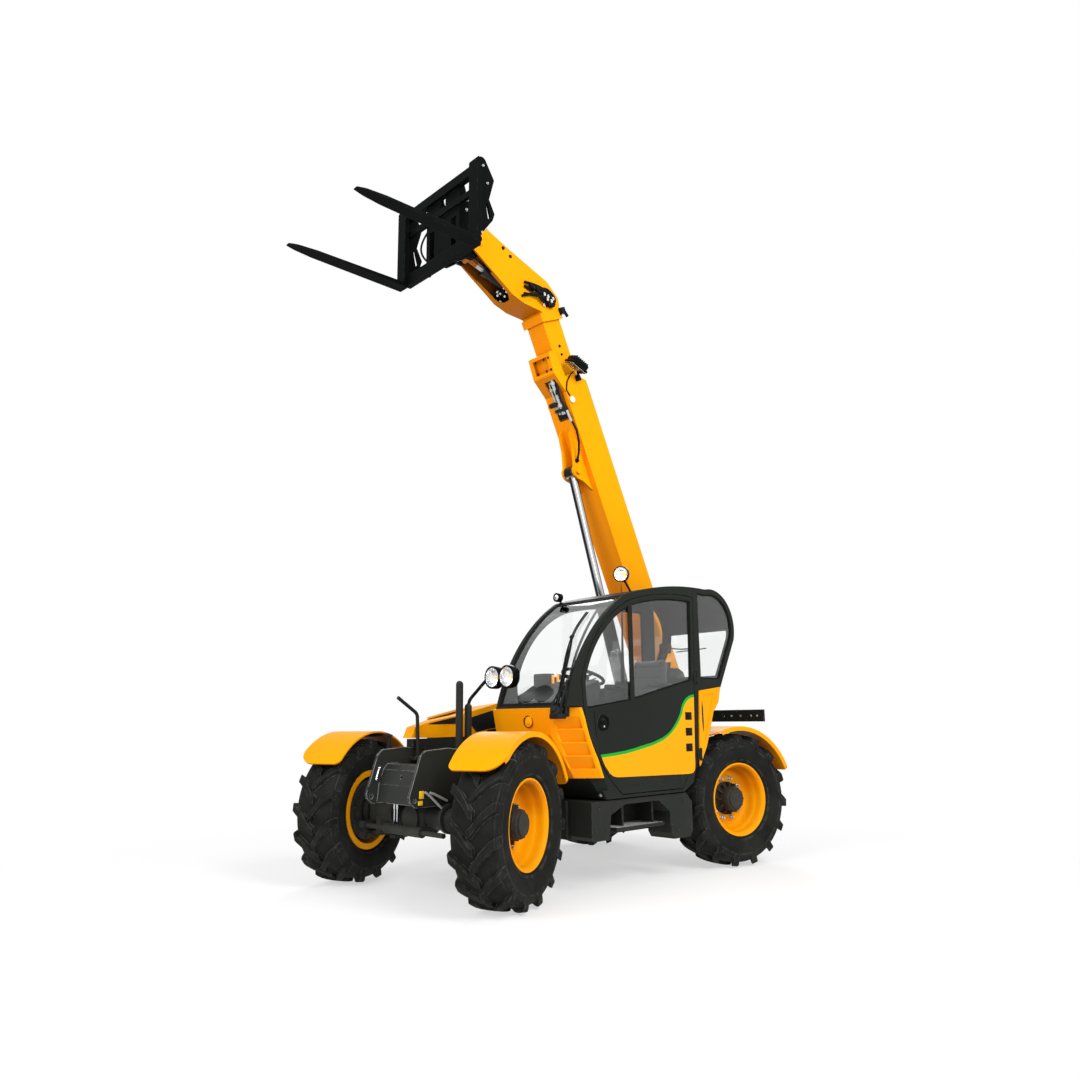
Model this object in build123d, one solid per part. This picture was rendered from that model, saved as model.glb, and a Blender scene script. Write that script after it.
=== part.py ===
"""Telehandler with side cab, two-section telescopic boom and pallet forks.

Millimetres. X points forward, Y to the left and Z up, with the ground at Z = 0.
The machine is drawn about the middle of its wheelbase and then set forward or back,
so that the origin lies under the middle of the whole outline.
"""
import os
from math import cos, sin, radians

from build123d import *

# ---- driving dimensions -----------------------------------------------------
set_back = -206.0              # from the middle of the wheelbase to the part's origin

half_base = 1425.0             # half of the wheelbase
wheel_y = 950.0                # wheel centre planes
kingpin_y = 730.0
axle_z = 595.0
tyre_radius = 595.0
tyre_width = 400.0
rim_radius = 335.0             # outside of the rim flange
bead_radius = 305.0
bead_y = 152.0                 # outside of the tyre beads, from the wheel centre plane
front_steer = 21.0             # degrees to the left, as the machine stands
rear_steer = -11.4

boom_pivot_x, boom_pivot_z = -1600.0, 1720.0
boom_angle = 65.3              # degrees above level, fully raised
boom_width = 295.0
boom_under, boom_top = -158.0, 198.0
boom_wall = 10.0
boom_mouth = 3255.0            # from the pivot to where the top plate of the outer boom ends
chin_end = 3635.0              # from the pivot to the end of the chin under the mouth
inner_width = 224.0
inner_under, inner_top = -126.0, 128.0
inner_wall = 12.0
head_half, head_wall = 140.0, 18.0

lift_base_x, lift_base_z = -1250.0, 850.0
lift_eye = (2410.0, -289.0)    # on the boom: along it, and across it
tilt_base = (4226.0, -214.0)
tilt_eye = (4674.0, -756.0)
head_pivot = (4800.0, -660.0)

cab_right, cab_left = 225.0, 1080.0
cab_wall = 40.0
door_thick = 36.0
door_gap = 8.0
glass_thick = 6.0
far_post, far_post_width = -1050.0, 170.0    # window post of the cab's far side
cushion_top = 1450.0

rail_inner, rail_outer = 190.0, 215.0
nose_inner, nose_outer = 286.0, 310.0
hood_left, hood_right = -250.0, -1075.0
hood_fall = 8.8                # degrees that the bonnet falls towards the right

carriage_reach = 360.0         # from the head's pivot to the back of the forks
fork_half = 554.0              # from the middle to the middle of each fork
fork_heel, fork_top = 5420.0, 6245.0
fork_length, fork_width, fork_thick = 1220.0, 120.0, 45.0


# ---- helpers ----------------------------------------------------------------
def block(x0, x1, y0, y1, z0, z1):
    """A box from its lowest to its highest corner."""
    return Pos((x0 + x1) / 2, (y0 + y1) / 2, (z0 + z1) / 2) * Box(x1 - x0, y1 - y0, z1 - z0)


def side_face(points):
    """A flat face in the XZ plane from a closed row of (x, z) corners."""
    return make_face(Polyline(*[(x, 0, z) for x, z in points], close=True))


def across(face, y0, y1):
    """Extrude a face in the XZ plane sideways, from y0 to y1."""
    return Pos(0, y0, 0) * extrude(face, amount=y1 - y0, dir=(0, 1, 0))


def slab(points, y0, y1):
    return across(side_face(points), y0, y1)


def pair(points, inner, outer):
    """The same plate on the left and on the right."""
    return [slab(points, inner, outer), slab(points, -outer, -inner)]


def pin(x, z, y0, y1, radius):
    """A round bar across the machine."""
    return Pos(x, (y0 + y1) / 2, z) * Rot(90, 0, 0) * Cylinder(radius, y1 - y0)


def bar(start, end, radius):
    """A round bar between two points."""
    start, end = Vector(*start), Vector(*end)
    middle = (start + end) * 0.5
    plane = Plane(origin=(middle.X, middle.Y, middle.Z), z_dir=(end - start).normalized())
    return plane * Cylinder(radius, (end - start).length)


def tube_run(points, radius, bend):
    """A bent round tube along a row of points."""
    path = FilletPolyline(*points, radius=bend)
    section = Plane(origin=path @ 0, z_dir=path % 0) * Circle(radius)
    return sweep(section, path=path)


def fuse(solids):
    """One body from overlapping solids."""
    whole = solids[0]
    for solid in solids[1:]:
        whole = whole + solid
    return whole


def on_boom(shape):
    """Carry a shape drawn along X, with the pivot at the origin, to the raised boom."""
    return Pos(boom_pivot_x, 0, boom_pivot_z) * Rot(0, -boom_angle, 0) * shape


def boom_point(along, across_boom):
    """Where a point of the boom lies in the machine's side view."""
    a = radians(boom_angle)
    x = boom_pivot_x + along * cos(a) - across_boom * sin(a)
    z = boom_pivot_z + along * sin(a) + across_boom * cos(a)
    return x, z


nodes = {}


def keep(name, shape):
    """Hold a finished sub-part, moved from the wheelbase frame to the part's own."""
    if isinstance(shape, (list, tuple, ShapeList)):
        shape = Compound(children=[Pos(set_back, 0, 0) * s for s in shape])
    else:
        shape = Pos(set_back, 0, 0) * shape
    nodes[name] = shape


# ---- wheels -----------------------------------------------------------------
corners = [
    # name, x of the axle, side, steer angle
    ("front_left", half_base, 1, front_steer),
    ("front_right", half_base, -1, front_steer),
    ("rear_left", -half_base, 1, rear_steer),
    ("rear_right", -half_base, -1, rear_steer),
]


def spun(points):
    """Revolve a closed outline of (across, radius) points about the wheel's axle."""
    outline = make_face(Polyline(*[(0, a, r) for a, r in points], close=True))
    return revolve(outline, Axis((0, 0, 0), (0, 1, 0)), 360)


def tyre_shape():
    """Radial tyre with a flat crown, rounded shoulders and bulging side walls."""
    half, crown = tyre_width / 2, tyre_radius
    return spun([
        (-bead_y, bead_radius + 2), (-bead_y, rim_radius - 4), (-half + 8, 372), (-half, 450),
        (-half + 6, 535), (-half + 30, crown - 12), (-half + 70, crown), (half - 70, crown),
        (half - 30, crown - 12), (half - 6, 535), (half, 450), (half - 8, 372),
        (bead_y, rim_radius - 4), (bead_y, bead_radius + 2),
    ])


def rim_shape():
    """Deep rim: barrel with two flanges, and a dished disc set inboard of its middle."""
    edge = tyre_width / 2 - 34
    disc = -45.0
    return spun([
        (-edge, 280), (-edge, rim_radius - 6), (-edge + 10, rim_radius - 6), (-edge + 12, bead_radius),
        (edge - 12, bead_radius), (edge - 10, rim_radius - 6), (edge, rim_radius - 6),
        (edge, rim_radius - 22), (edge - 26, 284), (disc + 70, 272), (disc + 14, 235),
        (disc + 14, 120), (disc, 120), (disc, 245), (disc + 20, 262), (-edge + 20, 280),
    ])


def hub_shape():
    """Planetary hub with a round cover, through the rim's disc."""
    disc = -45.0
    return spun([
        (disc - 20, 0), (disc - 20, 119.5), (disc + 14, 119.5), (disc + 14, 150), (disc + 34, 150),
        (disc + 40, 112), (disc + 125, 106), (disc + 140, 92), (disc + 168, 80), (disc + 172, 0),
    ])


fender_inner, fender_outer = 648.0, 662.0
fender_in_y, fender_out_y = -2.0, 432.0     # across, from the kingpin
stay_x, stay_y = -130.0, -32.0              # mudguard stay, from the kingpin


def knuckle_shape(ahead):
    """Steering knuckle on its kingpin, with the hub flange and the mudguard's stay.

    Its steering arm points ahead of the axle (1) or behind it (-1).
    """
    post = Cylinder(74, 300)
    arm = Pos(ahead * 120, -20, -95) * Box(190, 60, 36) + Pos(ahead * 205, -20, -95) * Cylinder(30, 50)
    neck = pin(0, 0, 0, 90, 118)
    flange = pin(0, 0, 86, 150, 148)
    foot = block(stay_x - 15, -40, stay_y - 12, stay_y + 12, 60, 130)
    stem = block(stay_x - 15, stay_x + 15, stay_y - 12, stay_y + 12, 60, 645)
    saddle = block(stay_x - 40, stay_x + 40, stay_y - 12, 260, 612, 645)
    stay = (stem + saddle) & pin(0, 0, -100, 300, fender_inner)
    return fuse([post, neck, flange, arm, foot, stay])


def lobe(angle, inner_round, outer_round, way):
    """A radial prism whose end at an angle has rounded corners; way 1 keeps larger angles."""
    a = radians(angle)
    plane = Plane(origin=(0, 0, 0), x_dir=(0, 1, 0), z_dir=(cos(a), 0, sin(a)))
    y0, y1, far = fender_in_y - 1, fender_out_y + 1, way * 1100.0
    side_in = Line((y0, far), (y0, way * inner_round))
    turn_in = ThreePointArc((y0, way * inner_round), (y0 + inner_round * 0.293, way * inner_round * 0.293),
                            (y0 + inner_round, 0))
    foot = Line((y0 + inner_round, 0), (y1 - outer_round, 0))
    turn_out = ThreePointArc((y1 - outer_round, 0), (y1 - outer_round * 0.293, way * outer_round * 0.293),
                             (y1, way * outer_round))
    side_out = Line((y1, way * outer_round), (y1, far))
    head = Line((y1, far), (y0, far))
    outline = make_face(Wire([side_in, turn_in, foot, turn_out, side_out, head]))
    return extrude(plane * outline, amount=1000, dir=(cos(a), 0, sin(a)))


def fender_shape(start, end):
    """Mudguard over the tyre, from a start to an end angle, with its outer edge turned down.

    Both ends hang as rounded lobes.
    """
    def ring(r0, r1, y0, y1):
        disc = Plane.XZ * (Circle(r1) - Circle(r0))
        return Pos(0, y1, 0) * extrude(disc, amount=y1 - y0)

    def wedge(first, last):
        steps = [first + (last - first) * i / 4 for i in range(5)]
        rim = [(1100 * cos(radians(s)), 1100 * sin(radians(s))) for s in steps]
        return slab([(0, 0)] + rim, fender_in_y - 10, fender_out_y + 10)

    sheet = ring(fender_inner, fender_outer, fender_in_y, fender_out_y)
    lip = ring(fender_inner - 26, fender_outer - 4, fender_out_y - 12, fender_out_y)
    whole = sheet + lip
    crown = (start + end) / 2
    front = (whole & wedge(start, crown)) & lobe(start, 60, 150, 1)
    rear = (whole & wedge(crown, end)) & lobe(end, 120, 50, -1)
    return front + rear


fender_span = {"front": (38.0, 158.0), "rear": (62.0, 158.0)}

for name, axle_x, side, steer in corners:
    kingpin = Pos(axle_x, side * kingpin_y, axle_z) * Rot(0, 0, steer)
    to_wheel = Pos(0, wheel_y - kingpin_y, 0)
    start, end = fender_span[name.split("_")[0]]
    pieces = {
        "_tyre": [to_wheel * tyre_shape()],
        "_rim": [to_wheel * rim_shape(), to_wheel * hub_shape()],
        "_knuckle": [knuckle_shape(1 if axle_x > 0 else -1)],
        "_fender": [fender_shape(start, end)],
    }
    for ending, solids in pieces.items():
        if side < 0:
            solids = [mirror(solid, about=Plane.XZ) for solid in solids]
        keep(name + ending, [kingpin * solid for solid in solids])

# ---- axles ------------------------------------------------------------------
def axle_shape(ahead):
    """Driven axle: differential, tapered tubes, a forked end at each kingpin and a steering cylinder.

    The cylinder lies ahead of the axle (1) or behind it (-1), the pinion on the other side.
    """
    ball = Sphere(165) & block(-150, 150, -130, 130, -150, 118)
    cover = Pos(ahead * 132, 0, -10) * Rot(0, 90, 0) * Cylinder(104, 40)
    pinion = Pos(-ahead * 170, 0, -60) * Rot(0, 90, 0) * Cylinder(62, 120)
    cone = Rot(90, 0, 0) * Cylinder(96, 700)
    solids = [ball, cover, pinion, cone]
    for side in (1, -1):
        flange = pin(0, 0, min(side * 318, side * 350), max(side * 318, side * 350), 116)
        solids.append(flange)
    barrel = pin(ahead * 205, -95, -250, 250, 38)
    rods = pin(ahead * 205, -95, -520, 520, 19)
    clamps = [block(min(0, ahead * 220), max(0, ahead * 220), y - 14, y + 14, -118, -60) for y in (-150, 150)]
    solids += [barrel, rods] + clamps
    for side in (1, -1):
        arm = pin(0, 0, min(side * 330, side * 600), max(side * 330, side * 600), 78)
        web = block(-62, 62, min(side * 560, side * 622), max(side * 560, side * 622), -192, 192)
        solids += [arm, web]
        for low in (160.0, -192.0):
            ear = block(-62, 62, min(side * 600, side * kingpin_y), max(side * 600, side * kingpin_y),
                        low, low + 32)
            boss = Pos(0, side * kingpin_y, low + 16) * Cylinder(62, 32)
            solids += [ear, boss]
    return fuse(solids)


level_lug = block(30, 155, -268, -196, -176, -150) + block(30, 60, -268, -196, -160, -60)
keep("front_axle", Pos(half_base, 0, axle_z) * (axle_shape(1) + level_lug))
keep("rear_axle", Pos(-half_base, 0, axle_z) * axle_shape(-1))

shaft_z = axle_z - 60
gearbox = block(-170, 170, -105, 105, 430, 560)
shafts = []
for way in (1, -1):
    joint_x = way * (half_base - 233)
    shafts += [
        bar((way * 160, 0, shaft_z - 40), (joint_x, 0, shaft_z), 32),
        bar((way * 160, 0, shaft_z - 40), (way * 250, 0, shaft_z - 36), 54),
        bar((joint_x - way * 90, 0, shaft_z - 4), (joint_x, 0, shaft_z), 54),
    ]
keep("drive_line", fuse([gearbox] + shafts))

# ---- chassis ----------------------------------------------------------------
rail_outline = [
    (-1960, 470), (-1960, 1080), (-1800, 1700), (-1740, 1810), (-1660, 1850), (-1540, 1850),
    (-1460, 1800), (-1400, 1700), (-1080, 1110), (-700, 930), (1000, 900), (1250, 900),
    (1250, 730), (1000, 560), (-1000, 470), (-1180, 550), (-1700, 550), (-1760, 470),
]
rails = pair(rail_outline, rail_inner, rail_outer)
for i, rail in enumerate(rails):
    rails[i] = rail - pin(-half_base, axle_z, -400, 400, 100)
belly = block(-900, 900, -rail_inner, rail_inner, 560, 576)
rear_plate = block(-1960, -1935, -rail_inner, rail_inner, 470, 1300)
cross_tubes = [pin(x, z, -rail_inner, rail_inner, 45) for x, z in ((-1760, 640), (980, 640), (-1125, 700))]
lift_lugs = pair([
    (-1312, 850), (-1292, 902), (-1250, 920), (-1205, 900), (-1070, 740), (-1070, 660), (-1180, 660),
], 85, 110)
lift_pin = pin(lift_base_x, lift_base_z, -118, 118, 31.5)
boom_pin = pin(boom_pivot_x, boom_pivot_z, -rail_outer - 22, rail_outer + 8, 44.5)
keep("chassis_frame", fuse(rails + [belly, rear_plate, lift_pin, boom_pin] + cross_tubes + lift_lugs))

nose_outline = [
    (960, 720), (960, 1085), (1440, 1130), (1655, 1115), (1700, 1075), (1800, 775), (1792, 735), (1745, 694),
    (1250, 694),
]
nose_sides = pair(nose_outline, nose_inner, nose_outer)
nose_sides = [plate - pin(1752, 748, -400, 400, 16) for plate in nose_sides]
nose_bend = slab([
    (1500, 1000), (1605, 1000), (1642, 956), (1684, 842), (1698, 700), (1686, 700), (1673, 840), (1632, 950),
    (1600, 988), (1500, 988),
], -nose_inner, nose_inner)
nose_bend = nose_bend - Pos(1656, 0, 905) * Rot(0, 70, 0) * Cylinder(16, 60)
nose_floor = block(1250, 1690, -nose_inner, nose_inner, 716, 728)
nose_webs = pair([(1000, 880), (1250, 880), (1250, 900), (1000, 900)], rail_outer, nose_inner)
nose_back = pair([(1225, 704), (1250, 704), (1250, 900), (1225, 900)], rail_outer, nose_inner)
keep("nose_box", fuse(nose_sides + [nose_bend, nose_floor] + nose_webs + nose_back))

# cylinders that level the frame over the front axle
level_x = half_base + 125
levellers = []
for y in (-252, -212):
    barrel = bar((level_x, y, 640), (level_x, y, 716), 18)
    rod = bar((level_x, y, 470), (level_x, y, 660), 11)
    eye = pin(level_x, 462, y - 12, y + 12, 17)
    levellers.append(fuse([barrel, rod, eye]))
keep("levelling_cylinders", levellers)

# ---- side skirts, tank and counterweight --------------------------------------
skirt_outline = [
    (600, 700), (600, 430), (570, 400), (400, 400), (375, 590), (200, 660), (-230, 660),
    (-370, 560), (-385, 380), (-420, 330), (-640, 330), (-680, 380), (-680, 620), (-600, 700),
]
keep("left_skirt", slab(skirt_outline, 800, 1060))
step_treads = [block(-300, 300, 820, 1050, 455, 480)]
step_arms = [block(x, x + 20, 830, 1000, 480, 655) for x in (-220, 160)]
keep("cab_step", fuse(step_treads + step_arms))
keep("fuel_tank", block(-640, 620, rail_outer, 800, 400, 696))
keep("battery_box", block(-640, 620, -1040, -rail_outer, 400, 640))
weight_outline = [(-2080, 500), (-2100, 620), (-2100, 1050), (-2040, 1130), (-1960, 1130), (-1960, 500)]
hitch_block = slab(weight_outline, -330, 330)
keep("counterweight", hitch_block)
jaw = [block(-2190, -2100, -70, 70, z, z + 26) for z in (560, 674)] + [block(-2125, -2100, -90, 90, 540, 720)]
jaw_body = fuse(jaw) - Pos(-2150, 0, 630) * Cylinder(16, 300)
keep("tow_hitch", jaw_body)

lamp_bar = block(-2080, -2060, -960, 960, 1295, 1415)
for y in (474, 569, 681, 809, 881):
    for side in (1, -1):
        lamp_bar = lamp_bar - Pos(-2070, side * y, 1352) * Rot(0, 90, 0) * Cylinder(12, 60)
bar_arms = [block(-2060, -1780, y, y + 20, 1320, 1390) for y in (rail_outer, -rail_outer - 20)]
keep("rear_lamp_bar", fuse([lamp_bar] + bar_arms))

# ---- engine bay ---------------------------------------------------------------
keep("engine_block", block(-350, 610, -760, -250, 670, 1150))
bay_side = slab([
    (640, 650), (640, 1180), (560, 1240), (-700, 1330), (-1080, 1330), (-860, 1300), (-690, 1180), (-690, 650),
], hood_right, hood_right + 25)
for z in range(760, 1160, 50):
    bay_side = bay_side - block(-420, 420, hood_right - 5, hood_right + 30, z, z + 16)
bay_front = block(615, 640, hood_right + 25, -250, 650, 1180)
bay_rear = block(-690, -665, hood_right + 25, -250, 650, 1180)
bay_floor = block(-665, 615, hood_right + 25, -770, 650, 670)
bay_nose = slab([(640, 1060), (958, 1060), (958, 1086), (1376, 1125), (1376, 1192), (640, 1192)], -350, -262)
keep("engine_bay", fuse([bay_side, bay_front, bay_rear, bay_floor, bay_nose]))

hood_profile = [
    (1400, 1200), (1360, 1290), (1160, 1345), (910, 1385), (430, 1495), (-300, 1540), (-960, 1500),
    (-1080, 1345), (-700, 1345), (560, 1255), (640, 1200),
]


def below_fall(drop):
    """Everything under the bonnet's top plane, which falls to the right, less a drop."""
    return Pos(0, hood_left, 1500 - drop) * Rot(hood_fall, 0, 0) * Pos(0, -500, -500) * Box(4000, 2600, 1000)


hood_outer = slab(hood_profile, hood_right, hood_left) & below_fall(0)
round_edges = [e for e in hood_outer.edges() if e.center().Y < hood_right + 2 and e.length > 1800]
hood_outer = fillet(round_edges, 26)
hood_core = slab([
    (1385, 1180), (1345, 1272), (1155, 1325), (905, 1365), (430, 1475), (-300, 1520), (-945, 1480),
    (-1040, 1365), (-1040, 1200),
], hood_right + 20, hood_left - 20) & below_fall(20)
front_cut = block(645, 1500, hood_right - 10, -375, 1100, 1600)
vents = [block(x, x + 22, hood_right - 5, hood_right + 30, 1290, 1352) for x in range(-560, 420, 60)]
hood_shell = (hood_outer - hood_core) - front_cut - vents
hood_cheek = slab([
    (1400, 1200), (1360, 1290), (1160, 1345), (910, 1385), (645, 1440), (645, 1200),
], -375, -355)
keep("hood", fuse([hood_shell, hood_cheek]))

# ---- cab ----------------------------------------------------------------------
def cab_outline():
    """Side outline of the cab, clockwise from the foot of the windscreen."""
    screen = ThreePointArc((870, 0, 1430), (640, 0, 1930), (150, 0, 2385))
    roof = ThreePointArc((150, 0, 2385), (-420, 0, 2505), (-1000, 0, 2530))
    rear = ThreePointArc((-1000, 0, 2530), (-1370, 0, 2400), (-1430, 0, 2080))
    lower = Polyline((-1430, 0, 2080), (-1160, 0, 1600), (-850, 0, 1330), (-785, 0, 1000), (-690, 0, 780),
                     (-560, 0, 712), (440, 0, 712), (600, 0, 950), (870, 0, 1430))
    return make_face(Wire([screen, roof, rear] + list(lower.edges())))


def door_outline(inset):
    """Side outline of the door opening, drawn in by an inset."""
    face = make_face(Wire([
        Line((250, 0, 735), (-540, 0, 735)), Line((-540, 0, 735), (-745, 0, 1000)),
        Line((-745, 0, 1000), (-805, 0, 2440)),
        ThreePointArc((-805, 0, 2440), (-380, 0, 2435), (60, 0, 2355)),
        ThreePointArc((60, 0, 2355), (470, 0, 2085), (705, 0, 1660)),
        ThreePointArc((705, 0, 1660), (600, 0, 1160), (250, 0, 735)),
    ]))
    if inset:
        face = offset(face, amount=-inset)
    return face


def above_belt(face, drop=0):
    """The part of a face over the window sill, less a drop; the sill rises towards the rear."""
    sill = side_face([
        (900, 1390 - drop), (110, 1490 - drop), (-760, 1680 - drop), (-1500, 1680 - drop), (-1500, 2700),
        (900, 2700),
    ])
    return face & sill


outline = cab_outline()
inner_outline = offset(outline, amount=-cab_wall)
shell = across(outline, cab_right, cab_left) - across(inner_outline, cab_right + cab_wall, cab_left - cab_wall)
shell = shell - across(door_outline(0), cab_left - cab_wall - 20, cab_left + 20)
side_glass_face = above_belt(door_outline(46))
far_strip = side_face([(-740, 1680), (far_post, 1680), (far_post, 2392), (-740, 2392)])
far_glass_face = side_glass_face + far_strip
shell = shell - across(far_glass_face, cab_right - 20, cab_right + cab_wall + 20)


def quarter_outline(front):
    """The rear quarter window, from its front edge back."""
    zone = side_face([(front, 1690), (-1250, 1690), (-1700, 2080), (-1700, 2700), (front, 2700)])
    return offset(outline, amount=-50) & zone


quarter_face = quarter_outline(-870)
far_quarter_face = quarter_outline(far_post - far_post_width)
shell = shell - across(quarter_face, cab_left - cab_wall - 20, cab_left + 20)
shell = shell - across(far_quarter_face, cab_right - 20, cab_right + cab_wall + 20)
screen_zone = block(160, 1000, cab_right + 40, cab_left - 32, 1452, 2700)
rear_zone = block(-1700, -1120, cab_right + 70, cab_left - 70, 1715, 2190)
for zone in (screen_zone, rear_zone):
    shell = shell - zone
cab_waist = 1340.0
tub_zone = block(-2000, 2000, 0, 1500, 0, cab_waist)

glass_band = (across(offset(outline, amount=-12), cab_right + 40, cab_left - 32)
              - across(offset(outline, amount=-12 - glass_thick), cab_right + 40, cab_left - 32))
rear_band = (across(offset(outline, amount=-12), cab_right + 70, cab_left - 70)
             - across(offset(outline, amount=-12 - glass_thick), cab_right + 70, cab_left - 70))
keep("windscreen", glass_band & screen_zone)
keep("cab_glass", [
    rear_band & rear_zone,
    across(far_glass_face, cab_right + 14, cab_right + 14 + glass_thick),
    across(far_quarter_face, cab_right + 14, cab_right + 14 + glass_thick),
    across(quarter_face, cab_left - 14 - glass_thick, cab_left - 14),
])

door_face = door_outline(door_gap)
door_glass_face = above_belt(door_outline(46))
door = across(door_face, cab_left - door_thick, cab_left)
door = door - across(door_glass_face, cab_left - door_thick - 5, cab_left + 5)
hollow_face = door_outline(60) - above_belt(door_outline(20))
door = door - across(hollow_face, cab_left - door_thick - 1, cab_left - 14)
panel_face = door_outline(66) - above_belt(door_outline(20), 26)
door = door - across(panel_face, cab_left - 4, cab_left + 1)
mullion_strip = side_face([(60, 1300), (106, 1300), (106, 2500), (60, 2500)])
mullion_face = above_belt(door_outline(30), 10) & mullion_strip
mullion = across(mullion_face, cab_left - 17, cab_left - 3)
handle_cup = pin(460, 1312, cab_left - 12, cab_left - 1, 44) - pin(460, 1312, cab_left - 9, cab_left, 30)
grip = block(425, 495, cab_left - 12, cab_left - 3, 1304, 1320)
door = fuse([door, mullion, handle_cup, grip])
keep("door", door)
keep("door_glass", across(door_glass_face, cab_left - 24, cab_left - 24 + glass_thick))

# yellow panels round the foot of the cab
fall = (-0.40, 0, -0.917)      # down the slope of the fairing's front
corner_out = (0.684, 0.729)    # the way its oblique corner faces, in plan


def corner_prism(inset, lean=0.0, top=1440.0):
    """What lies outside the oblique corner of the fairing, moved inwards by an inset.

    With a lean it cuts deeper the further it goes down from its top.
    """
    down = (1440 - top) / 0.917
    face = make_face(Polyline(*[(x - inset * corner_out[0] - 0.40 * down, y - inset * corner_out[1], top)
                                for x, y in ((960, 874), (960, 1200), (612, 1200))], close=True))
    return extrude(face, amount=720, dir=(fall[0] - lean * corner_out[0], -lean * corner_out[1], fall[2]))


corner_gap = corner_prism(24)
cab_side = [(876, 1440), (870, 1430), (600, 950), (553, 880), (430, 870), (430, 1440)]
fairing = slab([(872, 1432), (905, 1425), (860, 1220), (655, 880), (440, 880), (500, 1432)],
               cab_right, cab_left - 2) - corner_prism(0)
fairing = fairing - (slab(cab_side, cab_right - 1, cab_left) - corner_gap)
for z in (958, 1062, 1166, 1270):
    louvre = corner_prism(0, 0.2, z + 92) & block(0, 1000, 916, 1062, z, z + 92)
    fairing = fairing - louvre
fairing = fairing - Pos(900, 647, 1331) * Rot(0, 97, 0) * Cylinder(42, 60)
fairing = fairing - across(door_outline(0), cab_left - door_thick - door_gap, cab_left + 5)
keep("front_fairing", fairing)
shell = shell - corner_gap
keep("cab_frame", shell - tub_zone)
keep("cab_tub", shell & tub_zone)
wing = slab([
    (-824, 1582), (-1150, 1622), (-1108, 1478), (-1024, 1392), (-962, 1232), (-900, 1090), (-838, 994),
    (-790, 918), (-788, 1000),
], cab_left, cab_left + 12)
wing = wing - slab([(-868, 1540), (-1034, 1560), (-975, 1400), (-880, 1130)], cab_left + 6, cab_left + 13)
keep("rear_corner_panel", wing)

# inside the cab
floor_z = 752.0
seat_x, seat_y = -420.0, 640.0
cushion_z = cushion_top - 110
seat_box = block(seat_x - 110, seat_x + 220, seat_y - 200, seat_y + 200, floor_z, cushion_z)
keep("seat_base", seat_box)
keep("seat_cushion", block(seat_x - 200, seat_x + 250, seat_y - 235, seat_y + 235, cushion_z, cushion_top))
back = Pos(seat_x - 250, seat_y, cushion_top + 305) * Rot(0, -10, 0) * Box(110, 450, 560)
keep("seat_back", back)
dash = slab([
    (700, 1240), (795, 1425), (785, 1470), (520, 1625), (450, 1640), (400, 1600), (440, 1480), (560, 1060),
    (586, 1052),
], 300, 1000) - block(640, 820, 920, 1001, 1180, 1480)
display = block(400, 500, 310, 450, 1580, 1722)
column = bar((475, seat_y, 1030), (241, seat_y, 1669), 34)
pedestal = slab([
    (405, floor_z), (540, 955), (580, 1052), (560, 1062), (460, 1000), (300, floor_z),
], seat_y - 110, seat_y + 110)
knee = slab([(405, 955), (545, 955), (580, 1052), (520, 1180), (440, 1120)], seat_y - 90, seat_y + 90)
keep("dashboard", fuse([dash, display, column, pedestal, knee]))
hoop = Torus(180, 14) + Box(350, 34, 12) + Box(34, 350, 12) + Pos(0, 0, -14) * Cylinder(40, 30)
wheel_ring = Pos(230, seat_y, 1700) * Rot(0, -20, 0) * hoop
keep("steering_wheel", wheel_ring)

# ---- lamps and posts at the front -----------------------------------------------
post_y = nose_inner - 36
posts = []
for x, top in ((1281, 1630), (1190, 1448)):
    post = bar((x, post_y, 1010), (x, post_y, top), 30) + Pos(x, post_y, top) * Sphere(30)
    posts.append(post + block(x - 30, x + 30, post_y, nose_inner, 1000, 1070))
bent_y = hood_left + 25
bent_post = tube_run([(1345, bent_y, 1040), (1360, bent_y, 1400), (1560, bent_y, 1535)], 15, 60)
bent_shoe = block(1310, 1385, -nose_inner, bent_y + 15, 1020, 1045)
keep("front_posts", posts + [bent_post + bent_shoe])

lamp_radius, lamp_depth, lamp_face = 95.0, 92.0, 1012.0
lamp_z = 1690.0
lamps = []
for y in (340, 524):
    drum = Pos(lamp_face - lamp_depth * 0.35, y, lamp_z) * Rot(0, 90, 0) * Cylinder(lamp_radius, lamp_depth * 0.7)
    dome = Pos(lamp_face - lamp_depth * 0.6, y, lamp_z) * Rot(0, -90, 0) * Cone(lamp_radius, 52, lamp_depth * 0.8)
    glass_seat = Pos(lamp_face, y, lamp_z) * Rot(0, 90, 0) * Cylinder(lamp_radius - 9, 16)
    lamps.append((drum + dome) - glass_seat)
lamp_stalk = tube_run([(1190, post_y, 1440), (1180, post_y - 5, 1500), (990, 225, 1660), (945, 300, 1690)], 14, 40)
lamp_link = bar((945, 290, 1690), (945, 540, 1690), 12)
keep("front_lamps", fuse(lamps + [lamp_stalk, lamp_link]) - posts[1])

# work lamps on the cab's roof: x, y and z of the lamp's middle, its radius, foot of its bracket
roof_lamps = [
    (70, 985, 2577, 64, (-50, 985, 2418)),
    (190, 300, 2435, 42, (140, 300, 2382)),
]
work_lamps = []
for x, y, z, radius, foot in roof_lamps:
    drum = Pos(x, y, z) * Rot(0, 90, 0) * Cylinder(radius, 34)
    back_dome = Pos(x - 30, y, z) * Rot(0, -90, 0) * Cone(radius, radius * 0.55, 40)
    lens_seat = Pos(x + 17, y, z) * Rot(0, 90, 0) * Cylinder(radius - 6, 8)
    stay = bar((x - 24, y, z - radius * 0.4), foot, 9) + block(foot[0] - 45, foot[0] + 20, y - 22, y + 22,
                                                                foot[2] - 8, foot[2] + 6)
    work_lamps.append((fuse([drum, back_dome, stay]) - lens_seat) - across(outline, cab_right - 5, cab_left + 5))
keep("work_lamps", work_lamps)

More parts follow.
